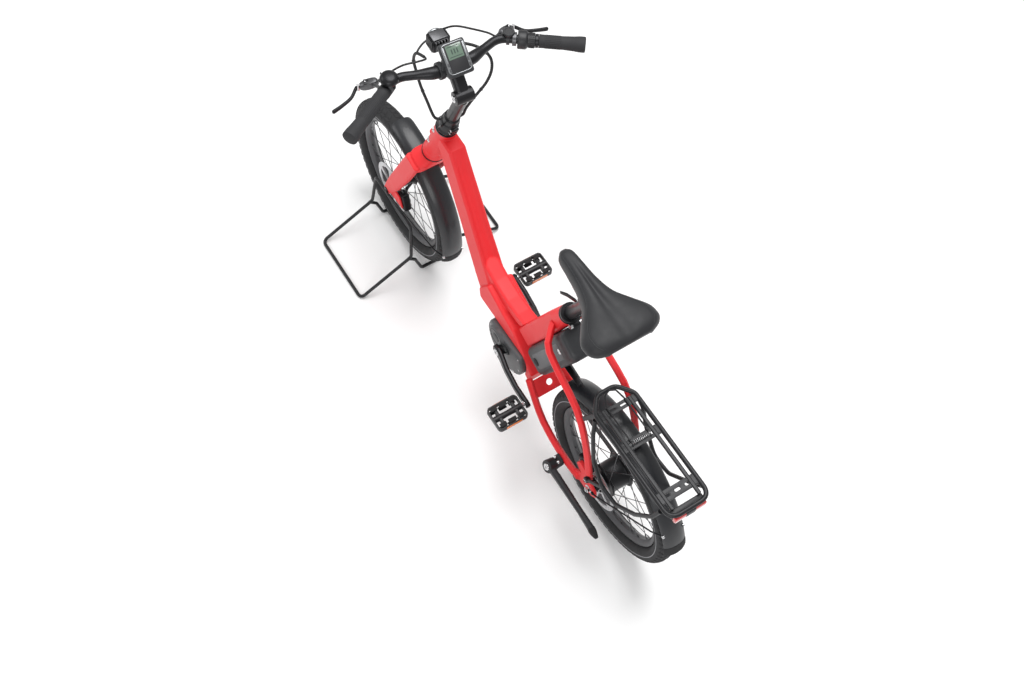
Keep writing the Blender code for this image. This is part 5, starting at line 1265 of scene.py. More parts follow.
def fender_section(share_end=1.0):
    arch = []
    for i in range(15):
        share = -1 + 2 * i / 14
        arch.append((share * FENDER_HALF_WIDTH * share_end, -FENDER_CROWN * abs(share) ** 2.5))
    inner = [(a * 0.955, b - FENDER_THICKNESS) for a, b in reversed(arch)]
    edge = FENDER_HALF_WIDTH * share_end
    bead = [(edge + 0.0003, -FENDER_CROWN - 0.0008),
            (edge - 0.0006, -FENDER_CROWN - FENDER_THICKNESS - 0.001)]
    other = [(-a, b) for a, b in reversed(bead)]
    return arch + bead + inner + other


def wheel_point(axle, angle, radius, across=0.0):
    t = math.radians(angle)
    return axle + Vector((radius * math.cos(t), across, radius * math.sin(t)))


def fender(form, axle, start, end, steps=84):
    rings = []
    for i in range(steps + 1):
        t = math.radians(start + (end - start) * i / steps)
        away = min(i, steps - i) / steps
        narrow = 1 - 0.10 * max(0.0, 1 - away / 0.03) ** 2
        out = Vector((math.cos(t), 0, math.sin(t)))
        rings.append([axle + (FENDER_RADIUS + b) * out + Vector((0, a, 0))
                      for a, b in fender_section(narrow)])
    form.skin(rings)


def stay_wires(form, axle, angle, foot_y, foot_lift):
    """The wire on each side, from an eye beside the axle to the fender's edge."""
    t = math.radians(angle)
    out = Vector((math.cos(t), 0, math.sin(t)))
    for side in SIDES.values():
        foot = axle + foot_lift * out + Vector((0, side * foot_y, 0))
        knee = axle + (FENDER_RADIUS - 0.045) * out + Vector((0, side * (FENDER_HALF_WIDTH + 0.010), 0))
        tip = axle + (FENDER_RADIUS - 0.008) * out + Vector((0, side * (FENDER_HALF_WIDTH - 0.002), 0))
        form.run([foot, foot + 0.012 * out, knee.lerp(foot, 0.1), knee, tip], disc(WIRE_RADIUS, 12),
                 (0, 1, 0.3), finish=1)
        form.turn([(0, -0.0022), (0.0052, -0.0022), (0.0052, 0.0022), (0.0030, 0.0034), (0, 0.0034)],
                  foot, (0, side, 0), 20, 1)
        form.turn([(0, -0.002), (0.0042, -0.002), (0.0042, 0.0024), (0.0030, 0.0034), (0, 0.0034)],
                  tip + 0.0005 * out, (0, side, 0), 20, 2)


def soft_flap(form, axle, end):
    """A rubber flap over the last degrees of a fender."""
    rings = []
    for degrees, wide in ((end - 6, 1.02), (end - 3, 1.03), (end, 1.02), (end + 0.35, 0.98)):
        rings.append([wheel_point(axle, degrees, FENDER_RADIUS + b * 1.05 + 0.0008, a * wide)
                      for a, b in fender_section()])
    form.skin(rings, finish=3)


front_guard = Form()
fender(front_guard, FRONT_AXLE, *FRONT_GUARD_SPAN)
stay_wires(front_guard, FRONT_AXLE, 184, 0.0645, 0.008)
crown_foot = on_steering(up_axis(CROWN_TAB_HEIGHT) - CROWN_BACK)
front_guard.run([wheel_point(FRONT_AXLE, CROWN_TAB_ANGLE, FENDER_RADIUS - 0.001), crown_foot],
                oblong(*TAB_SECTION), finish=1)
soft_flap(front_guard, FRONT_AXLE, FRONT_GUARD_SPAN[1])
front_guard.show("front_guard", [fender_black, black_metal, bright_steel, black_rubber], "steering",
                 "black_plastic", ["front_fender"], sharp=35)

rear_guard = Form()
fender(rear_guard, REAR_AXLE, *REAR_GUARD_SPAN, 104)
stay_wires(rear_guard, REAR_AXLE, 150, 0.0780, 0.022)
tab_foot = wheel_point(REAR_AXLE, RACK_TAB_ANGLE, FENDER_RADIUS - 0.001)
rear_guard.run([tab_foot, Vector((tab_foot.x, 0, RACK_TAB_TOP))], oblong(*TAB_SECTION), finish=1)
rear_guard.run([wheel_point(REAR_AXLE, STRUT_ANGLE, FENDER_RADIUS - 0.001), on_seat(*STRUT_SEAT)],
               oblong(*TAB_SECTION), finish=1)
soft_flap(rear_guard, REAR_AXLE, REAR_FLAP_END)
rear_guard.show("rear_guard", [fender_black, black_metal, bright_steel, black_rubber], "frame",
                "black_plastic", ["rear_fender"], sharp=35)


# Brake calipers
# Cast black two-piston calipers, bolted to their tabs over the edge of each disc.

CALIPER_SIZE = (0.034, 0.024, 0.060)
CALIPER_REACH = 0.074
CALIPERS = (
    # name, axle, degrees round it, middle's Y, body
    ("front_caliper", FRONT_AXLE, 165, 0.0405, "steering"),
    ("rear_caliper", REAR_AXLE, 52, 0.0520, "frame"),
)


def brake_caliper(name, axle, angle, across, body):
    t = math.radians(angle)
    middle = axle + Vector((CALIPER_REACH * math.cos(t), across, CALIPER_REACH * math.sin(t)))
    turn = Matrix.Rotation(-t, 3, "Y")
    cast = Form().take(welded(name, 0.0010, 5))
    outside = CALIPER_SIZE[1] / 2
    for along_z in (-0.0225, 0.0225):
        place = middle + turn @ Vector((0.006, 0, along_z))
        cast.turn([(0, outside - 0.002), (0.0046, outside - 0.002), (0.0046, outside + 0.0030),
                   (0.0040, outside + 0.0036), (0.0022, outside + 0.0036), (0.0022, outside + 0.0014),
                   (0, outside + 0.0014)], place, (0, -1, 0), 20, 1)
    place = middle + turn @ Vector((0.002, 0, 0))
    cast.turn([(0, outside - 0.002), (0.0105, outside - 0.002), (0.0105, outside + 0.0012),
               (0.0095, outside + 0.0020), (0, outside + 0.0020)], place, (0, -1, 0), 32)
    cast.show("cast_" + name, [black_metal, bright_steel], body, "black_metal", [name], sharp=55)


for caliper in CALIPERS:
    brake_caliper(*caliper)


# Stem and handlebar
# A tall riser carries a tilting stem that is locked by a side bolt. The bar is black anodised
# and clamped by four bolts. Bar and stem stand a few degrees off the fork's line.

BAR_TURN = math.radians(-3.4)
BAR_TWIST = (Matrix.Translation(STEER_FOOT) @ Matrix.Rotation(BAR_TURN, 4, STEER_AXIS)
             @ Matrix.Translation(-STEER_FOOT))
CLAMP_POINT = at(0.372, 0.0, 1.050)
RISER_TOP = 0.985
STEM_JOINT_HEIGHT = 1.001
RISER_RADIUS = 0.0165
COLLAR_RADIUS = 0.024
BAR_RADIUS = 0.0155
BAR_END_RADIUS = 0.0111
BAR_MIDDLE = 0.050


def from_clamp(ahead, left, up):
    """A point given from the middle of the stem's clamp."""
    return CLAMP_POINT + Vector((ahead, left, up))


KINK = from_clamp(0.028, 0.136, 0)
BAR_END = from_clamp(-0.084, 0.304, 0.006)
BAR_ALONG = (BAR_END - KINK).normalized()
BAR_STRAIGHT = (BAR_END - KINK).length


def bend(points, radius, steps=10, closed=False):
    """A path with its corners rounded to a bend radius, as a bent tube has."""
    points = [Vector(p) for p in points]
    last = len(points) - 1
    path = []
    for i, corner in enumerate(points):
        if not closed and i in (0, last):
            path.append(corner)
            continue
        to_last, to_next = points[i - 1] - corner, points[(i + 1) % len(points)] - corner
        half = to_last.angle(to_next) / 2
        reach = min(radius / math.tan(half), 0.48 * to_last.length, 0.48 * to_next.length)
        start = corner + reach * to_last.normalized()
        end = corner + reach * to_next.normalized()
        for j in range(steps + 1):
            t = j / steps
            path.append((1 - t) ** 2 * start + 2 * t * (1 - t) * corner + t ** 2 * end)
    return path


low = up_axis(HEAD_TOP) + 0.0003
high = up_axis(RISER_TOP)
riser = Form().turn([
    (0, low), (0.0268, low), (0.0275, low + 0.0008), (0.0275, low + 0.0060), (0.0268, low + 0.0072),
    (COLLAR_RADIUS + 0.0006, low + 0.0130), (COLLAR_RADIUS, low + 0.0145), (COLLAR_RADIUS, low + 0.0435),
    (COLLAR_RADIUS - 0.0012, low + 0.0455), (RISER_RADIUS + 0.0044, low + 0.0490),
    (RISER_RADIUS + 0.0040, low + 0.0505), (RISER_RADIUS + 0.0040, low + 0.0695),
    (RISER_RADIUS + 0.0032, low + 0.0715), (RISER_RADIUS, low + 0.0740), (RISER_RADIUS, high), (0, high)],
    STEER_FOOT, STEER_AXIS, 64)
for up in (0.020, 0.037):
    boss = on_steering(low + up, -COLLAR_RADIUS - 0.001, 0)
    riser.box((0.012, 0.020, 0.011), boss, Matrix.Rotation(-math.asin(-STEER_AXIS.x), 3, "Y"), edge=0.002)
    riser.turn([(0, -0.0115), (0.0038, -0.0115), (0.0038, 0.0115), (0, 0.0115)], boss, (0, 1, 0), 16, 1)
riser.run([on_steering(low + up, back, left) for up, back, left in (
    (0.036, -0.004, 0.022), (0.046, -0.006, 0.031), (0.062, -0.010, 0.0365), (0.080, -0.014, 0.038))],
    [oblong(0.006, 0.010, 0.0026), oblong(0.0045, 0.011, 0.0022), oblong(0.0042, 0.011, 0.0020),
     oblong(0.0032, 0.008, 0.0015)], STEER_AHEAD)
riser.show("collared_riser", [black_metal, bright_steel], "steering", "black_metal", ["stem_riser"],
           bars=True)

Form().take(welded("stem", 0.0012, 5)).show("tilting_stem", [black_metal], "steering", "black_metal",
                                            ["stem"], sharp=60)
stem_bolts = Form()
joint = on_steering(up_axis(STEM_JOINT_HEIGHT))
for side in SIDES.values():
    stem_bolts.turn([(0, 0.0230), (0.0090, 0.0230), (0.0090, 0.0262), (0.0078, 0.0275),
                     (0.0034, 0.0275), (0.0034, 0.0250), (0, 0.0250)], joint, (0, side, 0), 32)
    for up in (-0.012, 0.012):
        stem_bolts.turn([(0, 0.0185), (0.0036, 0.0185), (0.0036, 0.0232), (0.0016, 0.0232),
                         (0.0016, 0.0215), (0, 0.0215)],
                        from_clamp(0, side * 0.015, up), (1, 0, 0), 16)
stem_bolts.show("stem_bolts", [bright_steel], "steering", "steel", bars=True)

half_bar = [Vector((CLAMP_POINT.x, BAR_MIDDLE, CLAMP_POINT.z)), KINK, BAR_END]
bar_path = bend([mirrored(p, -1) for p in reversed(half_bar)] + half_bar, 0.05, 14)
long_path = []
for here, there in zip(bar_path, bar_path[1:]):
    count = max(1, int((there - here).length / 0.006))
    long_path += [here.lerp(there, i / count) for i in range(count)]
long_path.append(bar_path[-1])
sections = []
for point in long_path:
    share = min(1.0, max(0.0, (abs(point.y) - BAR_MIDDLE) / 0.045))
    eased = share * share * (3 - 2 * share)
    sections.append(disc(BAR_RADIUS + (BAR_END_RADIUS - BAR_RADIUS) * eased, 28))
Form().run(long_path, sections, (0, 0, 1)).show("anodised_handlebar", [black_metal], "steering",
                                                "black_metal", ["handlebar"], bars=True)


# Grips and twist shifter
# Soft dark grey rubber grips, flared at the palm and closed at the end, each with a lock ring.
# The gear grip on the right has raised ribs.

GRIP_FROM = 0.046
SHIFTER_FROM = 0.0465
SHIFTER_SLEEVE = 0.042
SHIFTER_RIBS = 24
GRIP_BORE = BAR_END_RADIUS + 0.0003
GRIP_RIBS = 26

grip_rubber = Finish("grip_rubber", 0.75)
worn = grip_rubber.noise(30.0)
grip_rubber.feed("Base Color", grip_rubber.blend(worn, (0.014, 0.014, 0.016), (0.024, 0.024, 0.026)))
studs = grip_rubber.node("ShaderNodeTexVoronoi", {"feature": "F1"},
                         {"Vector": grip_rubber.place, "Scale": 330.0})
grip_rubber.bump(studs, 0.0005, 0.7)


def bar_along(side):
    return mirrored(BAR_ALONG, side)


def along_bar(distance, side, ahead=0.0, up=0.0):
    """A point on the straight end of the bar, a distance out from its kink."""
    across = BAR_ALONG.cross(Vector((0, 0, 1))).normalized()
    return mirrored(KINK + distance * BAR_ALONG + ahead * across + Vector((0, 0, up)), side)


for side_name, start in (("left", GRIP_FROM), ("right", SHIFTER_FROM + SHIFTER_SLEEVE + 0.0003)):
    side = SIDES[side_name]
    end = BAR_STRAIGHT
    grip = Form()
    outline = [(0.0160, start + 0.008), (0.0166, start + 0.010), (0.0160, start + 0.016),
               (0.0158, end - 0.055), (0.0166, end - 0.036), (0.0174, end - 0.022),
               (0.0184, end - 0.013), (0.0188, end - 0.008), (0.0188, end + 0.0030),
               (0.0180, end + 0.0050), (0.0150, end + 0.0060)]
    smooth = [(p.x, p.y) for p in flow([Vector((*p, 0)) for p in outline], 4)]
    grip.turn([(0, end + 0.0003), (GRIP_BORE, end + 0.0003), (GRIP_BORE, start + 0.0078),
               *smooth, (0, end + 0.006)], mirrored(KINK, side), bar_along(side), 48)
    grip.turn([(GRIP_BORE, start), (0.0158, start), (0.0166, start + 0.0008), (0.0166, start + 0.0066),
               (0.0158, start + 0.0074), (GRIP_BORE, start + 0.0074)], mirrored(KINK, side),
              bar_along(side), 48, 1)
    rib = Form()
    rib_foot = along_bar(start + 0.022, side, 0.0, 0.0158)
    rib.run([rib_foot, rib_foot + (end - start - 0.075) * bar_along(side)],
            oblong(0.0012, 0.0014, 0.0005, 1), (0, 0, 1))
    grip.take(ring_of(rib, GRIP_RIBS, mirrored(KINK, side), grip_rubber, bar_along(side)))
    grip.show("flared_grip_" + side_name, [grip_rubber, black_metal], "steering", "grip_rubber",
              ["grip_" + side_name], bars=True)

shifter = Form()
low = SHIFTER_FROM
shifter.turn([(GRIP_BORE, low), (0.0208, low), (0.0218, low + 0.0012), (0.0225, low + 0.0040),
              (0.0225, low + 0.0190), (0.0216, low + 0.0210), (0.0186, low + 0.0238),
              (0.0172, low + 0.0248), (0.0172, low + SHIFTER_SLEEVE - 0.002),
              (0.0164, low + SHIFTER_SLEEVE), (GRIP_BORE, low + SHIFTER_SLEEVE)],
             mirrored(KINK, -1), bar_along(-1), 64)
rib = Form()
rib_foot = along_bar(low + 0.0262, -1, 0.0, 0.0174)
rib.run([rib_foot, rib_foot + 0.0135 * bar_along(-1)], oblong(0.0016, 0.0016, 0.0006, 1), (0, 0, 1))
shifter.take(ring_of(rib, SHIFTER_RIBS, mirrored(KINK, -1), grip_rubber, bar_along(-1)), 1)
shifter.show("ribbed_twist_shifter", [black_plastic, grip_rubber], "steering", "black_rubber",
             ["twist_shifter"], bars=True)


# Brake levers and bell
# Each lever has a forged reservoir body on a clamp ring and a curved blade with a hooked end.
# The bell is a small dome on the left, and a round switch sits in its place on the right.

LEVER_PIVOT = from_clamp(0.078, 0.206, -0.052)
LEVER_KNEE = from_clamp(0.060, 0.234, -0.060)
LEVER_TIP = from_clamp(0.047, 0.291, -0.064)
RESERVOIR_END = from_clamp(0.065, 0.163, -0.038)
PERCH_FROM = 0.034
PERCH_WIDTH = 0.010

lever_metal = plain_finish("lever_metal", (0.11, 0.11, 0.115), 0.36, 0.8)

for side_name, side in SIDES.items():
    lever = Form()
    lever.turn([(GRIP_BORE, PERCH_FROM), (0.0158, PERCH_FROM), (0.0165, PERCH_FROM + 0.0008),
                (0.0165, PERCH_FROM + PERCH_WIDTH - 0.0008), (0.0158, PERCH_FROM + PERCH_WIDTH),
                (GRIP_BORE, PERCH_FROM + PERCH_WIDTH)], mirrored(KINK, side), bar_along(side), 48)
    middle = along_bar(PERCH_FROM + PERCH_WIDTH / 2, side)
    axis = bar_along(side)
    ahead = mirrored(RESERVOIR_END, side) - middle
    ring_front = middle + 0.0152 * (ahead - ahead.dot(axis) * axis).normalized()
    neck_end = mirrored(RESERVOIR_END.lerp(LEVER_PIVOT, 0.35), side)
    lever.run([ring_front, ring_front.lerp(neck_end, 0.5), neck_end],
              [oblong(0.010, 0.0090, 0.003), oblong(0.0085, 0.0075, 0.003), oblong(0.010, 0.0090, 0.003)],
              (0, 0, 1))
    body_path, body_sections = [], []
    for i in range(17):
        share = i / 16
        body_path.append(mirrored(RESERVOIR_END.lerp(LEVER_PIVOT, share), side))
        swell = math.sin(math.pi * min(1.0, share * 1.08)) ** 0.7
        round_end = 1.0 - 0.35 * max(0.0, 1 - share / 0.10) ** 2 - 0.35 * max(0.0, (share - 0.9) / 0.1) ** 2
        body_sections.append(oblong((0.0165 + 0.0060 * swell) * round_end,
                                    (0.0145 + 0.0062 * swell) * round_end,
                                    0.0048 * round_end, 4))
    lever.run(body_path, body_sections, (0, 0, 1))
    lid = mirrored(RESERVOIR_END.lerp(LEVER_PIVOT, 0.5), side) + Vector((0, 0, 0.0102))
    lid_turn = Matrix.Rotation(math.atan2(*(mirrored(LEVER_PIVOT, side)
                                            - mirrored(RESERVOIR_END, side)).yx), 3, "Z")
    lever.box((0.024, 0.014, 0.0030), lid, lid_turn, 1, 0.0010, 3)
    for share in (-0.009, 0.009):
        lever.turn([(0, 0.0), (0.0019, 0.0), (0.0019, 0.0020), (0.0014, 0.0024), (0, 0.0024)],
                   lid + lid_turn @ Vector((share, 0, 0.0006)), (0, 0, 1), 12, 2)
    lever.turn([(0, -0.0095), (0.0042, -0.0095), (0.0042, 0.0095), (0, 0.0095)],
               mirrored(LEVER_PIVOT + Vector((0.001, 0.003, 0)), side), (0, 0, 1), 20, 2)
    blade = flow([mirrored(p, side) for p in (
        LEVER_PIVOT.lerp(RESERVOIR_END, 0.12), LEVER_PIVOT + Vector((0.002, 0.006, 0)),
        LEVER_KNEE + Vector((0.004, 0, 0)), LEVER_KNEE.lerp(LEVER_TIP, 0.5), LEVER_TIP)], 12)
    blade_sections = []
    for i in range(len(blade)):
        share = i / (len(blade) - 1)
        wide = 0.0110 - 0.0026 * math.sin(math.pi * share)
        tip = 1.0 - 0.5 * max(0.0, (share - 0.94) / 0.06) ** 2
        blade_sections.append(oblong(wide * tip, 0.0064 * tip, 0.0022 * tip, 4))
    lever.run(blade, blade_sections, (0, 0, 1), finish=1)
    lever.show("forged_brake_lever_" + side_name, [lever_metal, black_metal, bright_steel],
               "steering", "silver_metal", ["brake_lever_" + side_name], bars=True)

BELL_FROM = 0.0238
BELL_WIDTH = 0.0080
switch = Form()
switch.turn([(GRIP_BORE, 0.0200), (0.0150, 0.0200), (0.0150, 0.0275), (GRIP_BORE, 0.0275)],
            mirrored(KINK, -1), bar_along(-1), 40)
switch.turn([(0, -0.004), (0.0135, -0.004), (0.0145, -0.0025), (0.0145, 0.0030), (0.0128, 0.0048),
             (0.0100, 0.0048), (0.0092, 0.0040), (0, 0.0046)],
            along_bar(0.0238, -1, 0.004, 0.0165), (0, 0, 1), 40)
switch.show("round_switch", [black_plastic], "steering", "black_plastic", bars=True)

bell = Form()
bell.turn([(GRIP_BORE, BELL_FROM), (0.0154, BELL_FROM), (0.0160, BELL_FROM + 0.0007),
           (0.0160, BELL_FROM + BELL_WIDTH - 0.0007), (0.0154, BELL_FROM + BELL_WIDTH),
           (GRIP_BORE, BELL_FROM + BELL_WIDTH)], KINK, BAR_ALONG, 48)
dome_foot = along_bar(BELL_FROM + BELL_WIDTH / 2, 1, 0.0, 0.0180)
bell.turn([(0, -0.004), (0.0045, -0.004), (0.0045, 0.0), (0.0206, 0.0004), (0.0215, 0.0010),
           (0.0224, 0.0030), (0.0225, 0.0062), (0.0217, 0.0098), (0.0196, 0.0133),
           (0.0160, 0.0162), (0.0112, 0.0182), (0.0060, 0.0189), (0.0036, 0.0190),
           (0.0034, 0.0186), (0, 0.0186)], dome_foot, (0, 0, 1), 48)
bell.run([dome_foot + Vector((0.018, 0.006, 0.002)), dome_foot + Vector((0.026, 0.010, 0.003))],
         oblong(0.006, 0.003, 0.0012), (0, 0, 1), finish=1)
bell.show("dome_bell", [black_metal, black_plastic], "steering", "black_plastic", ["bell"], bars=True)


# Display
# A tilting unit with a silver edge, a liquid crystal screen above a black panel, and two small
# buttons on each side. Two arms ring the bar beside the stem.

DISPLAY_CENTRE = from_clamp(-0.012, 0, 0.038)
DISPLAY_SIZE = (0.082, 0.066, 0.018)
DISPLAY_TILT = Matrix.Rotation(math.radians(-38), 3, "Y")
HOLDER_Y = 0.0345

silver_bezel = plain_finish("silver_bezel", (0.30, 0.31, 0.32), 0.30, 0.8)
screen_glass = Finish("liquid_crystal", 0.12, coat_weight=1.0, coat_roughness=0.03)
sheen = screen_glass.noise(12.0)
screen_glass.feed("Base Color", screen_glass.blend(sheen, (0.10, 0.155, 0.115), (0.14, 0.20, 0.15)))
screen_mark = plain_finish("crystal_bars", (0.045, 0.065, 0.055), 0.3)
button_rubber = plain_finish("button_rubber", (0.06, 0.06, 0.065), 0.6)


def on_display(x, y, z):
    return DISPLAY_CENTRE + DISPLAY_TILT @ Vector((x, y, z))


display = Form()
display.box(DISPLAY_SIZE, DISPLAY_CENTRE, DISPLAY_TILT, 0, 0.0060, 5)
face = DISPLAY_SIZE[2] / 2
frame_path = [on_display(0.0020 + a, b, face - 0.0002) for a, b in oblong(0.070, 0.058, 0.010, 6)]
display.run(frame_path, oblong(0.0022, 0.0024, 0.0009, 2), DISPLAY_TILT @ Vector((1, 0, 0)), True, 1)
display.box((0.0670, 0.0440, 0.0012), on_display(0.0020, 0, face + 0.0001), DISPLAY_TILT, 2, 0.0005, 2)
display.box((0.0330, 0.0390, 0.0006), on_display(0.0165, 0, face + 0.0007), DISPLAY_TILT, 3, 0.0002, 2)
for x, y, long, wide in ((0.0290, 0.0, 0.0016, 0.032), (0.0170, 0.007, 0.011, 0.0028),
                         (0.0170, 0.000, 0.011, 0.0028), (0.0170, -0.007, 0.011, 0.0028),
                         (0.0050, 0.0, 0.0016, 0.032)):
    display.box((long, wide, 0.0003), on_display(x, y, face + 0.0011), DISPLAY_TILT, 4)
for y in (-0.0255, 0.0255):
    display.box((0.0600, 0.0050, 0.0014), on_display(0.0020, y, face), DISPLAY_TILT, 1, 0.0007, 2)
    for x in (-0.0220, -0.0090):
        display.box((0.0085, 0.0034, 0.0012), on_display(x, y, face + 0.0009), DISPLAY_TILT, 5, 0.0005, 2)
for side in SIDES.values():
    bore = BAR_RADIUS + 0.0008
    low, high = sorted((side * (HOLDER_Y - 0.006), side * (HOLDER_Y + 0.006)))
    display.turn([(bore, low), (bore + 0.0044, low), (bore + 0.0050, low + 0.0006),
                  (bore + 0.0050, high - 0.0006), (bore + 0.0044, high), (bore, high)],
                 CLAMP_POINT, (0, 1, 0), 40)
    up = DISPLAY_TILT @ Vector((0, 0, 1))
    foot = CLAMP_POINT + Vector((0, side * HOLDER_Y, 0)) + (bore + 0.0044) * up
    top = DISPLAY_CENTRE + Vector((0, side * (DISPLAY_SIZE[1] / 2 - 0.006), 0)) - 0.006 * up
    display.run([foot, top], oblong(0.009, 0.008, 0.002), (1, 0, 0))
display.show("tilting_display", [dark_shell, silver_bezel, black_plastic, screen_glass, screen_mark,
                                 button_rubber], "steering", "silver_metal", ["display"], bars=True)


# Headlamp
# A small cast lamp on a bracket from the stem's clamp, with cooling fins behind and a clear
# moulded lens in front.

LAMP_CENTRE = from_clamp(0.078, 0, 0.008)
LAMP_SIZE = (0.044, 0.052, 0.044)

clear_lens = Finish("clear_lens", 0.08, coat_weight=1.0, coat_roughness=0.02)
ripple = clear_lens.node("ShaderNodeTexVoronoi", values={"Vector": clear_lens.place, "Scale": 260.0})
clear_lens.feed("Base Color", clear_lens.blend(ripple, (0.62, 0.64, 0.67), (0.80, 0.82, 0.85)))
clear_lens.bump(ripple, 0.0008)

lamp = Form()
lamp.box((LAMP_SIZE[0] - 0.004, LAMP_SIZE[1] - 0.004, LAMP_SIZE[2] - 0.004),
         LAMP_CENTRE - Vector((0.001, 0, 0)), None, 0, 0.008, 5)
fin_line = [LAMP_CENTRE + Vector((-0.016, 0, 0.0035)), LAMP_CENTRE + Vector((0.011, 0, 0.0035))]
lamp.take(along(fin_line, 7, (0.0018, LAMP_SIZE[1] - 0.003, LAMP_SIZE[2] - 0.010), black_metal), 0)
front = LAMP_CENTRE + Vector((LAMP_SIZE[0] / 2 - 0.006, 0, 0))
lamp.turn([(0, 0), (0.0190, 0), (0.0200, 0.0016), (0.0200, 0.0046), (0.0190, 0.0058),
           (0.0172, 0.0058), (0.0165, 0.0040), (0, 0.0040)], front, (1, 0, 0), 48, 1)
lamp.turn([(0, 0.0030), (0.0163, 0.0030), (0.0160, 0.0044), (0.0100, 0.0056), (0, 0.0060)], front,
          (1, 0, 0), 48, 2)
lamp.box((0.028, 0.038, 0.0022), LAMP_CENTRE + Vector((-0.002, 0, LAMP_SIZE[2] / 2 - 0.0010)), None, 3,
         0.0008, 3)
rib_line = [LAMP_CENTRE + Vector((-0.0215, across, 0.006)) for across in (-0.015, 0.015)]
lamp.take(along(rib_line, 5, (0.0024, 0.0050, 0.024), black_metal), 3)
bracket = CLAMP_POINT + Vector((0.0218, 0, 0.002))
lamp.box((0.040, 0.016, 0.008), bracket + Vector((0.020, 0, 0)), edge=0.002)
lamp.show("finned_headlamp", [black_metal, silver_bezel, clear_lens, lever_metal], "steering",
          "black_plastic", ["headlamp"], bars=True)


# Looms and brake hoses
# Two wiring looms run from the lamp and display into the steering collar, and a thin hose runs
# from each brake reservoir to join them. All are held at both ends.

LOOM_RADIUS = 0.0038
HOSE_RADIUS = 0.0025
TOUCH = 0.0009

cable_black = plain_finish("cable_black", (0.010, 0.010, 0.011), 0.50)


def collar_port(height, ahead, left, out=COLLAR_RADIUS + 0.0006):
    """A point beside the steering collar, where a loom goes in."""
    return on_steering(up_axis(height), out * ahead, out * left)


def hose_port(side, out):
    """A point just outside the inner end of a brake reservoir, where its hose starts."""
    return mirrored(RESERVOIR_END + out * (RESERVOIR_END - LEVER_PIVOT).normalized(), side)


LINES = {
    "loom_left": (LOOM_RADIUS, [from_clamp(*point) for point in (
        (0.068, 0.040, -0.020), (0.094, 0.048, -0.030), (0.102, 0.051, -0.060),
        (0.094, 0.048, -0.095), (0.078, 0.044, -0.135), (0.056, 0.037, -0.175))]
        + [collar_port(0.831, 0.653, 0.757, 0.040), collar_port(0.829, 0.653, 0.757)]),
    "loom_right": (LOOM_RADIUS, [from_clamp(*point) for point in (
        (0.080, -0.034, -0.026), (0.078, -0.062, -0.032), (0.056, -0.098, -0.042),
        (0.030, -0.117, -0.058), (0.014, -0.116, -0.084), (0.004, -0.098, -0.114),
        (0.002, -0.066, -0.150), (0.005, -0.045, -0.185))]
        + [collar_port(0.836, 0.1, -0.995, 0.040), collar_port(0.834, 0.1, -0.995)]),
    "brake_hose_left": (HOSE_RADIUS, [hose_port(1, TOUCH), hose_port(1, 0.016)]
                        + [from_clamp(*point) for point in (
                            (0.064, 0.130, -0.022), (0.060, 0.100, -0.010), (0.053, 0.065, -0.008),
                            (0.056, 0.043, -0.014), (0.0664, 0.0396, -0.0194))]),
    "brake_hose_right": (HOSE_RADIUS, [hose_port(-1, TOUCH), hose_port(-1, 0.016)]
                         + [from_clamp(*point) for point in (
                             (0.068, -0.130, -0.020), (0.078, -0.092, 0.002), (0.098, -0.062, 0.006),
                             (0.112, -0.040, -0.004), (0.115, -0.012, -0.016), (0.111, 0.018, -0.024),
                             (0.1037, 0.0345, -0.0278), (0.0969, 0.0440, -0.0298))]),
}
for name, (radius, points) in LINES.items():
    route = flow(points, 10)
    line = Form().run(route, disc(radius, 14), (0, 0, 1))
    if radius == HOSE_RADIUS:
        away = (route[1] - route[0]).normalized()
        line.turn([(0, 0.0005), (0.0046, 0.0005), (0.0046, 0.0060), (0.0036, 0.0066),
                   (0.0036, 0.0110), (0, 0.0110)], route[0], away, 6, 1)
    else:
        for share in (0.30, 0.62):
            i = int(share * (len(route) - 1))
            way = (route[i + 1] - route[i]).normalized()
            line.turn([(0, -0.0016), (radius + 0.0009, -0.0016), (radius + 0.0009, 0.0016), (0, 0.0016)],
                      route[i], way, 16, 1)
    line.show("run_of_" + name, [cable_black, black_plastic], "steering", "black_rubber", [name],
              bars=True)


# Rear rack
# Bent and welded tubes, powder coated black, with flat bars across. A side hoop on each side
# reaches down to the dropout and keeps bags off the wheel. A sprung wire holds the load.

RACK_HEIGHT = 0.600
RACK_TUBE = 0.0062
RACK_FRONT_X = -0.3555
RACK_REAR_X = -0.7075
RACK_HALF_WIDTH = 0.0580
RACK_RAIL_Y = 0.0390
HOOP_TUBE = 0.0055
HOOP_Y = 0.0813
CLAMP_WIRE = 0.0022
HOOP_FOOT = (-0.445, 0.3155)
RACK_BARS = (
    # X, width, slots
    (-0.408, 0.020, 2),
    (-0.505, 0.026, 3),
    (-0.655, 0.028, 3),
)
SLOT_PITCH = 0.030
COIL_TURNS = 10
COIL_RADIUS = 0.0046

powder_black = plain_finish("powder_coat_black", (0.011, 0.011, 0.013), 0.40, 0.2, grain=1500.0,
                            depth=0.0001)

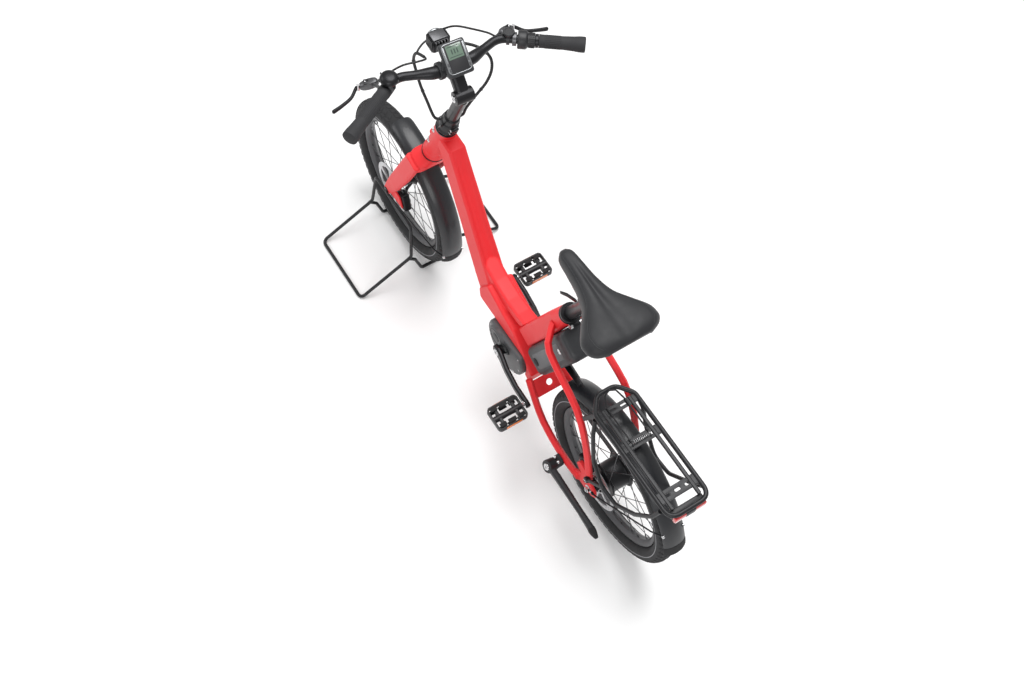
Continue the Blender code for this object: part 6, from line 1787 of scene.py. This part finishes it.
rack = Form()
corners = [(RACK_FRONT_X, -RACK_HALF_WIDTH * 0.45), (RACK_FRONT_X, RACK_HALF_WIDTH * 0.45),
           (RACK_FRONT_X - 0.040, RACK_HALF_WIDTH), (RACK_REAR_X, RACK_HALF_WIDTH),
           (RACK_REAR_X, -RACK_HALF_WIDTH), (RACK_FRONT_X - 0.040, -RACK_HALF_WIDTH)]
rack.run(bend([at(x, y, RACK_HEIGHT) for x, y in corners], 0.030, 10, True), disc(RACK_TUBE, 20),
         (0, 0, 1), True)
for side in SIDES.values():
    rack.run([at(-0.398, side * RACK_RAIL_Y, RACK_HEIGHT), at(-0.690, side * RACK_RAIL_Y, RACK_HEIGHT)],
             oblong(0.010, 0.008, 0.0024), (0, 1, 0))
    rack.run([at(-0.398, side * 0.0575, RACK_HEIGHT), at(-0.372, side * 0.0690, RACK_HEIGHT - 0.055)],
             oblong(0.012, 0.006, 0.0014), (1, 0, 0))
for x, width, slots in RACK_BARS:
    holes = []
    for i in range(slots):
        middle = (i - (slots - 1) / 2) * SLOT_PITCH
        holes.append([(a, middle + b) for a, b in oblong(width * 0.32, 0.018, width * 0.15, 4)])
    rack.take(pierced([(-width / 2, -RACK_HALF_WIDTH), (width / 2, -RACK_HALF_WIDTH),
                       (width / 2, RACK_HALF_WIDTH), (-width / 2, RACK_HALF_WIDTH)], holes, 0.0044,
                      at(x, 0, RACK_HEIGHT), (1, 0, 0), (0, 1, 0), 0.0006))
rack.show("welded_rack", [powder_black], "frame", "black_metal", ["rack_top"], sharp=40)

for side_name, side in SIDES.items():
    hoop = Form()
    route = [(-0.404, 0.0625, RACK_HEIGHT - 0.013), (-0.420, 0.074, RACK_HEIGHT - 0.055),
             (-0.449, HOOP_Y, 0.455), (-0.500, HOOP_Y, 0.384), (-0.560, HOOP_Y, 0.392),
             (-0.625, HOOP_Y, 0.475), (-0.668, 0.074, RACK_HEIGHT - 0.050),
             (-0.676, 0.0625, RACK_HEIGHT - 0.013)]
    hoop.run(bend([at(x, side * y, z) for x, y, z in route], 0.035, 8), disc(HOOP_TUBE, 18))
    hoop.run([at(-0.505, side * HOOP_Y, 0.388), at(-0.444, side * HOOP_Y, 0.312)], disc(HOOP_TUBE, 18))
    foot = at(HOOP_FOOT[0], side * HOOP_Y, HOOP_FOOT[1])
    hoop.turn([(0, -0.0062), (0.0092, -0.0062), (0.0092, 0.0052), (0.0080, 0.0062), (0, 0.0062)],
              foot, (0, side, 0), 28)
    hoop.turn([(0, 0.0050), (0.0050, 0.0050), (0.0050, 0.0084), (0.0042, 0.0092), (0.0022, 0.0092),
               (0.0022, 0.0070), (0, 0.0070)], foot, (0, side, 0), 20, 1)
    hoop.show("side_hoop_" + side_name, [powder_black, bright_steel], "frame", "black_metal",
              ["rack_hoop_" + side_name])

sprung = Form()
clamp_z = RACK_HEIGHT + 0.0045 / 2 + CLAMP_WIRE + 0.0003
route = [(-0.512, 0.026, clamp_z), (-0.396, 0.026, clamp_z), (-0.372, 0.016, clamp_z + 0.012),
         (-0.366, 0.0, clamp_z + 0.016), (-0.372, -0.016, clamp_z + 0.012),
         (-0.396, -0.026, clamp_z), (-0.512, -0.026, clamp_z)]
sprung.run(bend([at(*p) for p in route], 0.008, 6), disc(CLAMP_WIRE, 12), (0, 0, 1))
coil = []
for i in range(12 * COIL_TURNS + 1):
    t = 2 * math.pi * i / 12
    coil.append(at(-0.505 + COIL_RADIUS * math.cos(t), -0.024 + 0.048 * i / (12 * COIL_TURNS),
                   clamp_z + 0.0030 + COIL_RADIUS * math.sin(t)))
sprung.run(coil, disc(0.0010, 6), (0, 1, 0), finish=1)
sprung.show("sprung_rack_clamp", [powder_black, bright_steel], "frame", "black_metal",
            ["rack_spring_clamp"], sharp=50)

red_lens = plain_finish("red_lens", (0.62, 0.010, 0.012), 0.14, coat_weight=1.0)
prisms = red_lens.node("ShaderNodeTexVoronoi", values={"Vector": red_lens.place, "Scale": 300.0})
red_lens.bump(prisms, 0.0006)
tail = Form()
tail_centre = at(RACK_REAR_X + 0.006, 0, RACK_HEIGHT - RACK_TUBE - 0.0134)
tail.box((0.016, 0.094, 0.026), tail_centre + Vector((0.006, 0, 0)), None, 0, 0.004, 4)
tail.box((0.013, 0.092, 0.0245), tail_centre + Vector((-0.0075, 0, 0)), None, 1, 0.004, 4)
tail.box((0.0136, 0.034, 0.0252), tail_centre + Vector((-0.0074, 0, 0)), None, 0, 0.004, 4)
tail.show("lensed_tail_lamp", [black_plastic, red_lens], "frame", "red_lens", ["tail_lamp"])


# Kickstand
# A cast pivot on the left chain stay and an oval leg with a rubber foot, folded back along the
# wheel.

PIVOT = Vector(JOINT["kickstand_swing"]["pos_m"])
PIVOT_AXIS = Vector(JOINT["kickstand_swing"]["axis"]).normalized()
LEG_LENGTH = 0.235

dark_metal = plain_finish("dark_powder_coat", (0.020, 0.020, 0.023), 0.46, 0.3)

leg = Form().take(welded("kickstand", 0.0012, 5))
leg.turn([(0, 0.0080), (0.0100, 0.0080), (0.0100, 0.0118), (0.0088, 0.0130), (0.0040, 0.0130),
          (0.0040, 0.0105), (0, 0.0105)], PIVOT, -PIVOT_AXIS, 28, 1)
foot = PIVOT + Vector((-0.205, 0.004, 0.0008))
tip = PIVOT + Vector((-LEG_LENGTH + 0.001, 0.006, 0.0012))
leg.run([foot, foot.lerp(tip, 0.35), foot.lerp(tip, 0.8), tip],
        [oblong(0.0190, 0.0232, 0.006), oblong(0.0186, 0.0220, 0.006), oblong(0.013, 0.014, 0.004),
         oblong(0.009, 0.009, 0.003)], finish=2)
leg.show("folding_kickstand", [dark_metal, bright_steel, black_rubber], "kickstand", "dark_plastic",
         ["kickstand"], sharp=60)
mount = Form().take(welded("kickstand_mount", 0.0012, 5))
for along_x in (-0.0085, 0.0085):
    mount.turn([(0, 0.000), (0.0042, 0.000), (0.0042, 0.0040), (0.0034, 0.0048), (0, 0.0048)],
               at(-0.335 + along_x, 0.0965, 0.2395), (0, 0.30, 0.95), 20, 1)
mount.show("cast_kickstand_mount", [dark_metal, bright_steel], "frame", "dark_metal",
           ["kickstand_mount"], sharp=60)


# Wheel stand
# Bent steel wire, coated black: one loop on each side of the front wheel, laid on the floor and
# raised between the spokes and the tyre, with two ties under the tyre.

STAND_WIRE = 0.005
STAND_FRONT_X = 0.7225
STAND_REAR_X = 0.486
STAND_HALF_WIDTH = 0.247
STAND_HIP = (0.068, 0.095)
STAND_HOOP_Y = 0.0565
STAND_HOOP_TOP = 0.232
STAND_LEAN = 0.016

stand = Form()
for side in SIDES.values():
    out, hip, hoop = side * STAND_HALF_WIDTH, side * STAND_HIP[0], side * STAND_HOOP_Y
    route = [(STAND_FRONT_X, out, STAND_WIRE), (STAND_REAR_X, out, STAND_WIRE),
             (STAND_REAR_X, hip, STAND_HIP[1]), (STAND_REAR_X + STAND_LEAN, hoop, STAND_HOOP_TOP),
             (STAND_FRONT_X - STAND_LEAN, hoop, STAND_HOOP_TOP), (STAND_FRONT_X, hip, STAND_HIP[1])]
    stand.run(bend([at(*p) for p in route], 0.018, 10, True), disc(STAND_WIRE, 18), (0, 0, 1), True)
for x in (STAND_FRONT_X, STAND_REAR_X):
    route = [(x, 0.078, STAND_HIP[1] - 0.002), (x, 0.055, 0.070), (x, 0.034, STAND_WIRE),
             (x, -0.034, STAND_WIRE), (x, -0.055, 0.070), (x, -0.078, STAND_HIP[1] - 0.002)]
    stand.run(bend([at(*p) for p in route], 0.012, 8), disc(STAND_WIRE, 18), (1, 0, 0))
stand.show("bent_wire_stand", [powder_black], "steering", "black_metal", ["wheel_stand"])


# Studio light
# A large soft light from above and a paler one on each side, in a plain pale room. The floor is
# matt and nearly white.

LIGHTS = (
    # place, size, watts
    ((0.5, -0.8, 4.2), 3.2, 140),
    ((-2.8, 2.4, 2.6), 2.4, 46),
    ((2.6, 2.6, 2.8), 2.2, 30),
)
for place, size, watts in LIGHTS:
    lamp_data = bpy.data.lights.new("soft_light", "AREA")
    lamp_data.shape = "DISK"
    lamp_data.size = size
    lamp_data.energy = watts
    lamp = bpy.data.objects.new("soft_light", lamp_data)
    lamp.location = place
    lamp.rotation_euler = (Vector((0, 0, 0.4)) - Vector(place)).to_track_quat("-Z", "Y").to_euler()
    bpy.context.collection.objects.link(lamp)

world = bpy.data.worlds.new("pale_room")
world.use_nodes = True
world.node_tree.nodes["Background"].inputs["Color"].default_value = (1.0, 1.0, 1.0, 1.0)
world.node_tree.nodes["Background"].inputs["Strength"].default_value = 0.52
bpy.context.scene.world = world
bpy.context.scene.view_settings.view_transform = "Standard"

floor_finish = Finish("pale_floor", 0.35)
smudge = floor_finish.noise(1.2)
floor_finish.feed("Base Color", floor_finish.blend(smudge, (0.94, 0.94, 0.94), (0.96, 0.96, 0.96)))
floor_mesh.materials.append(floor_finish.material)

bpy.context.view_layer.update()
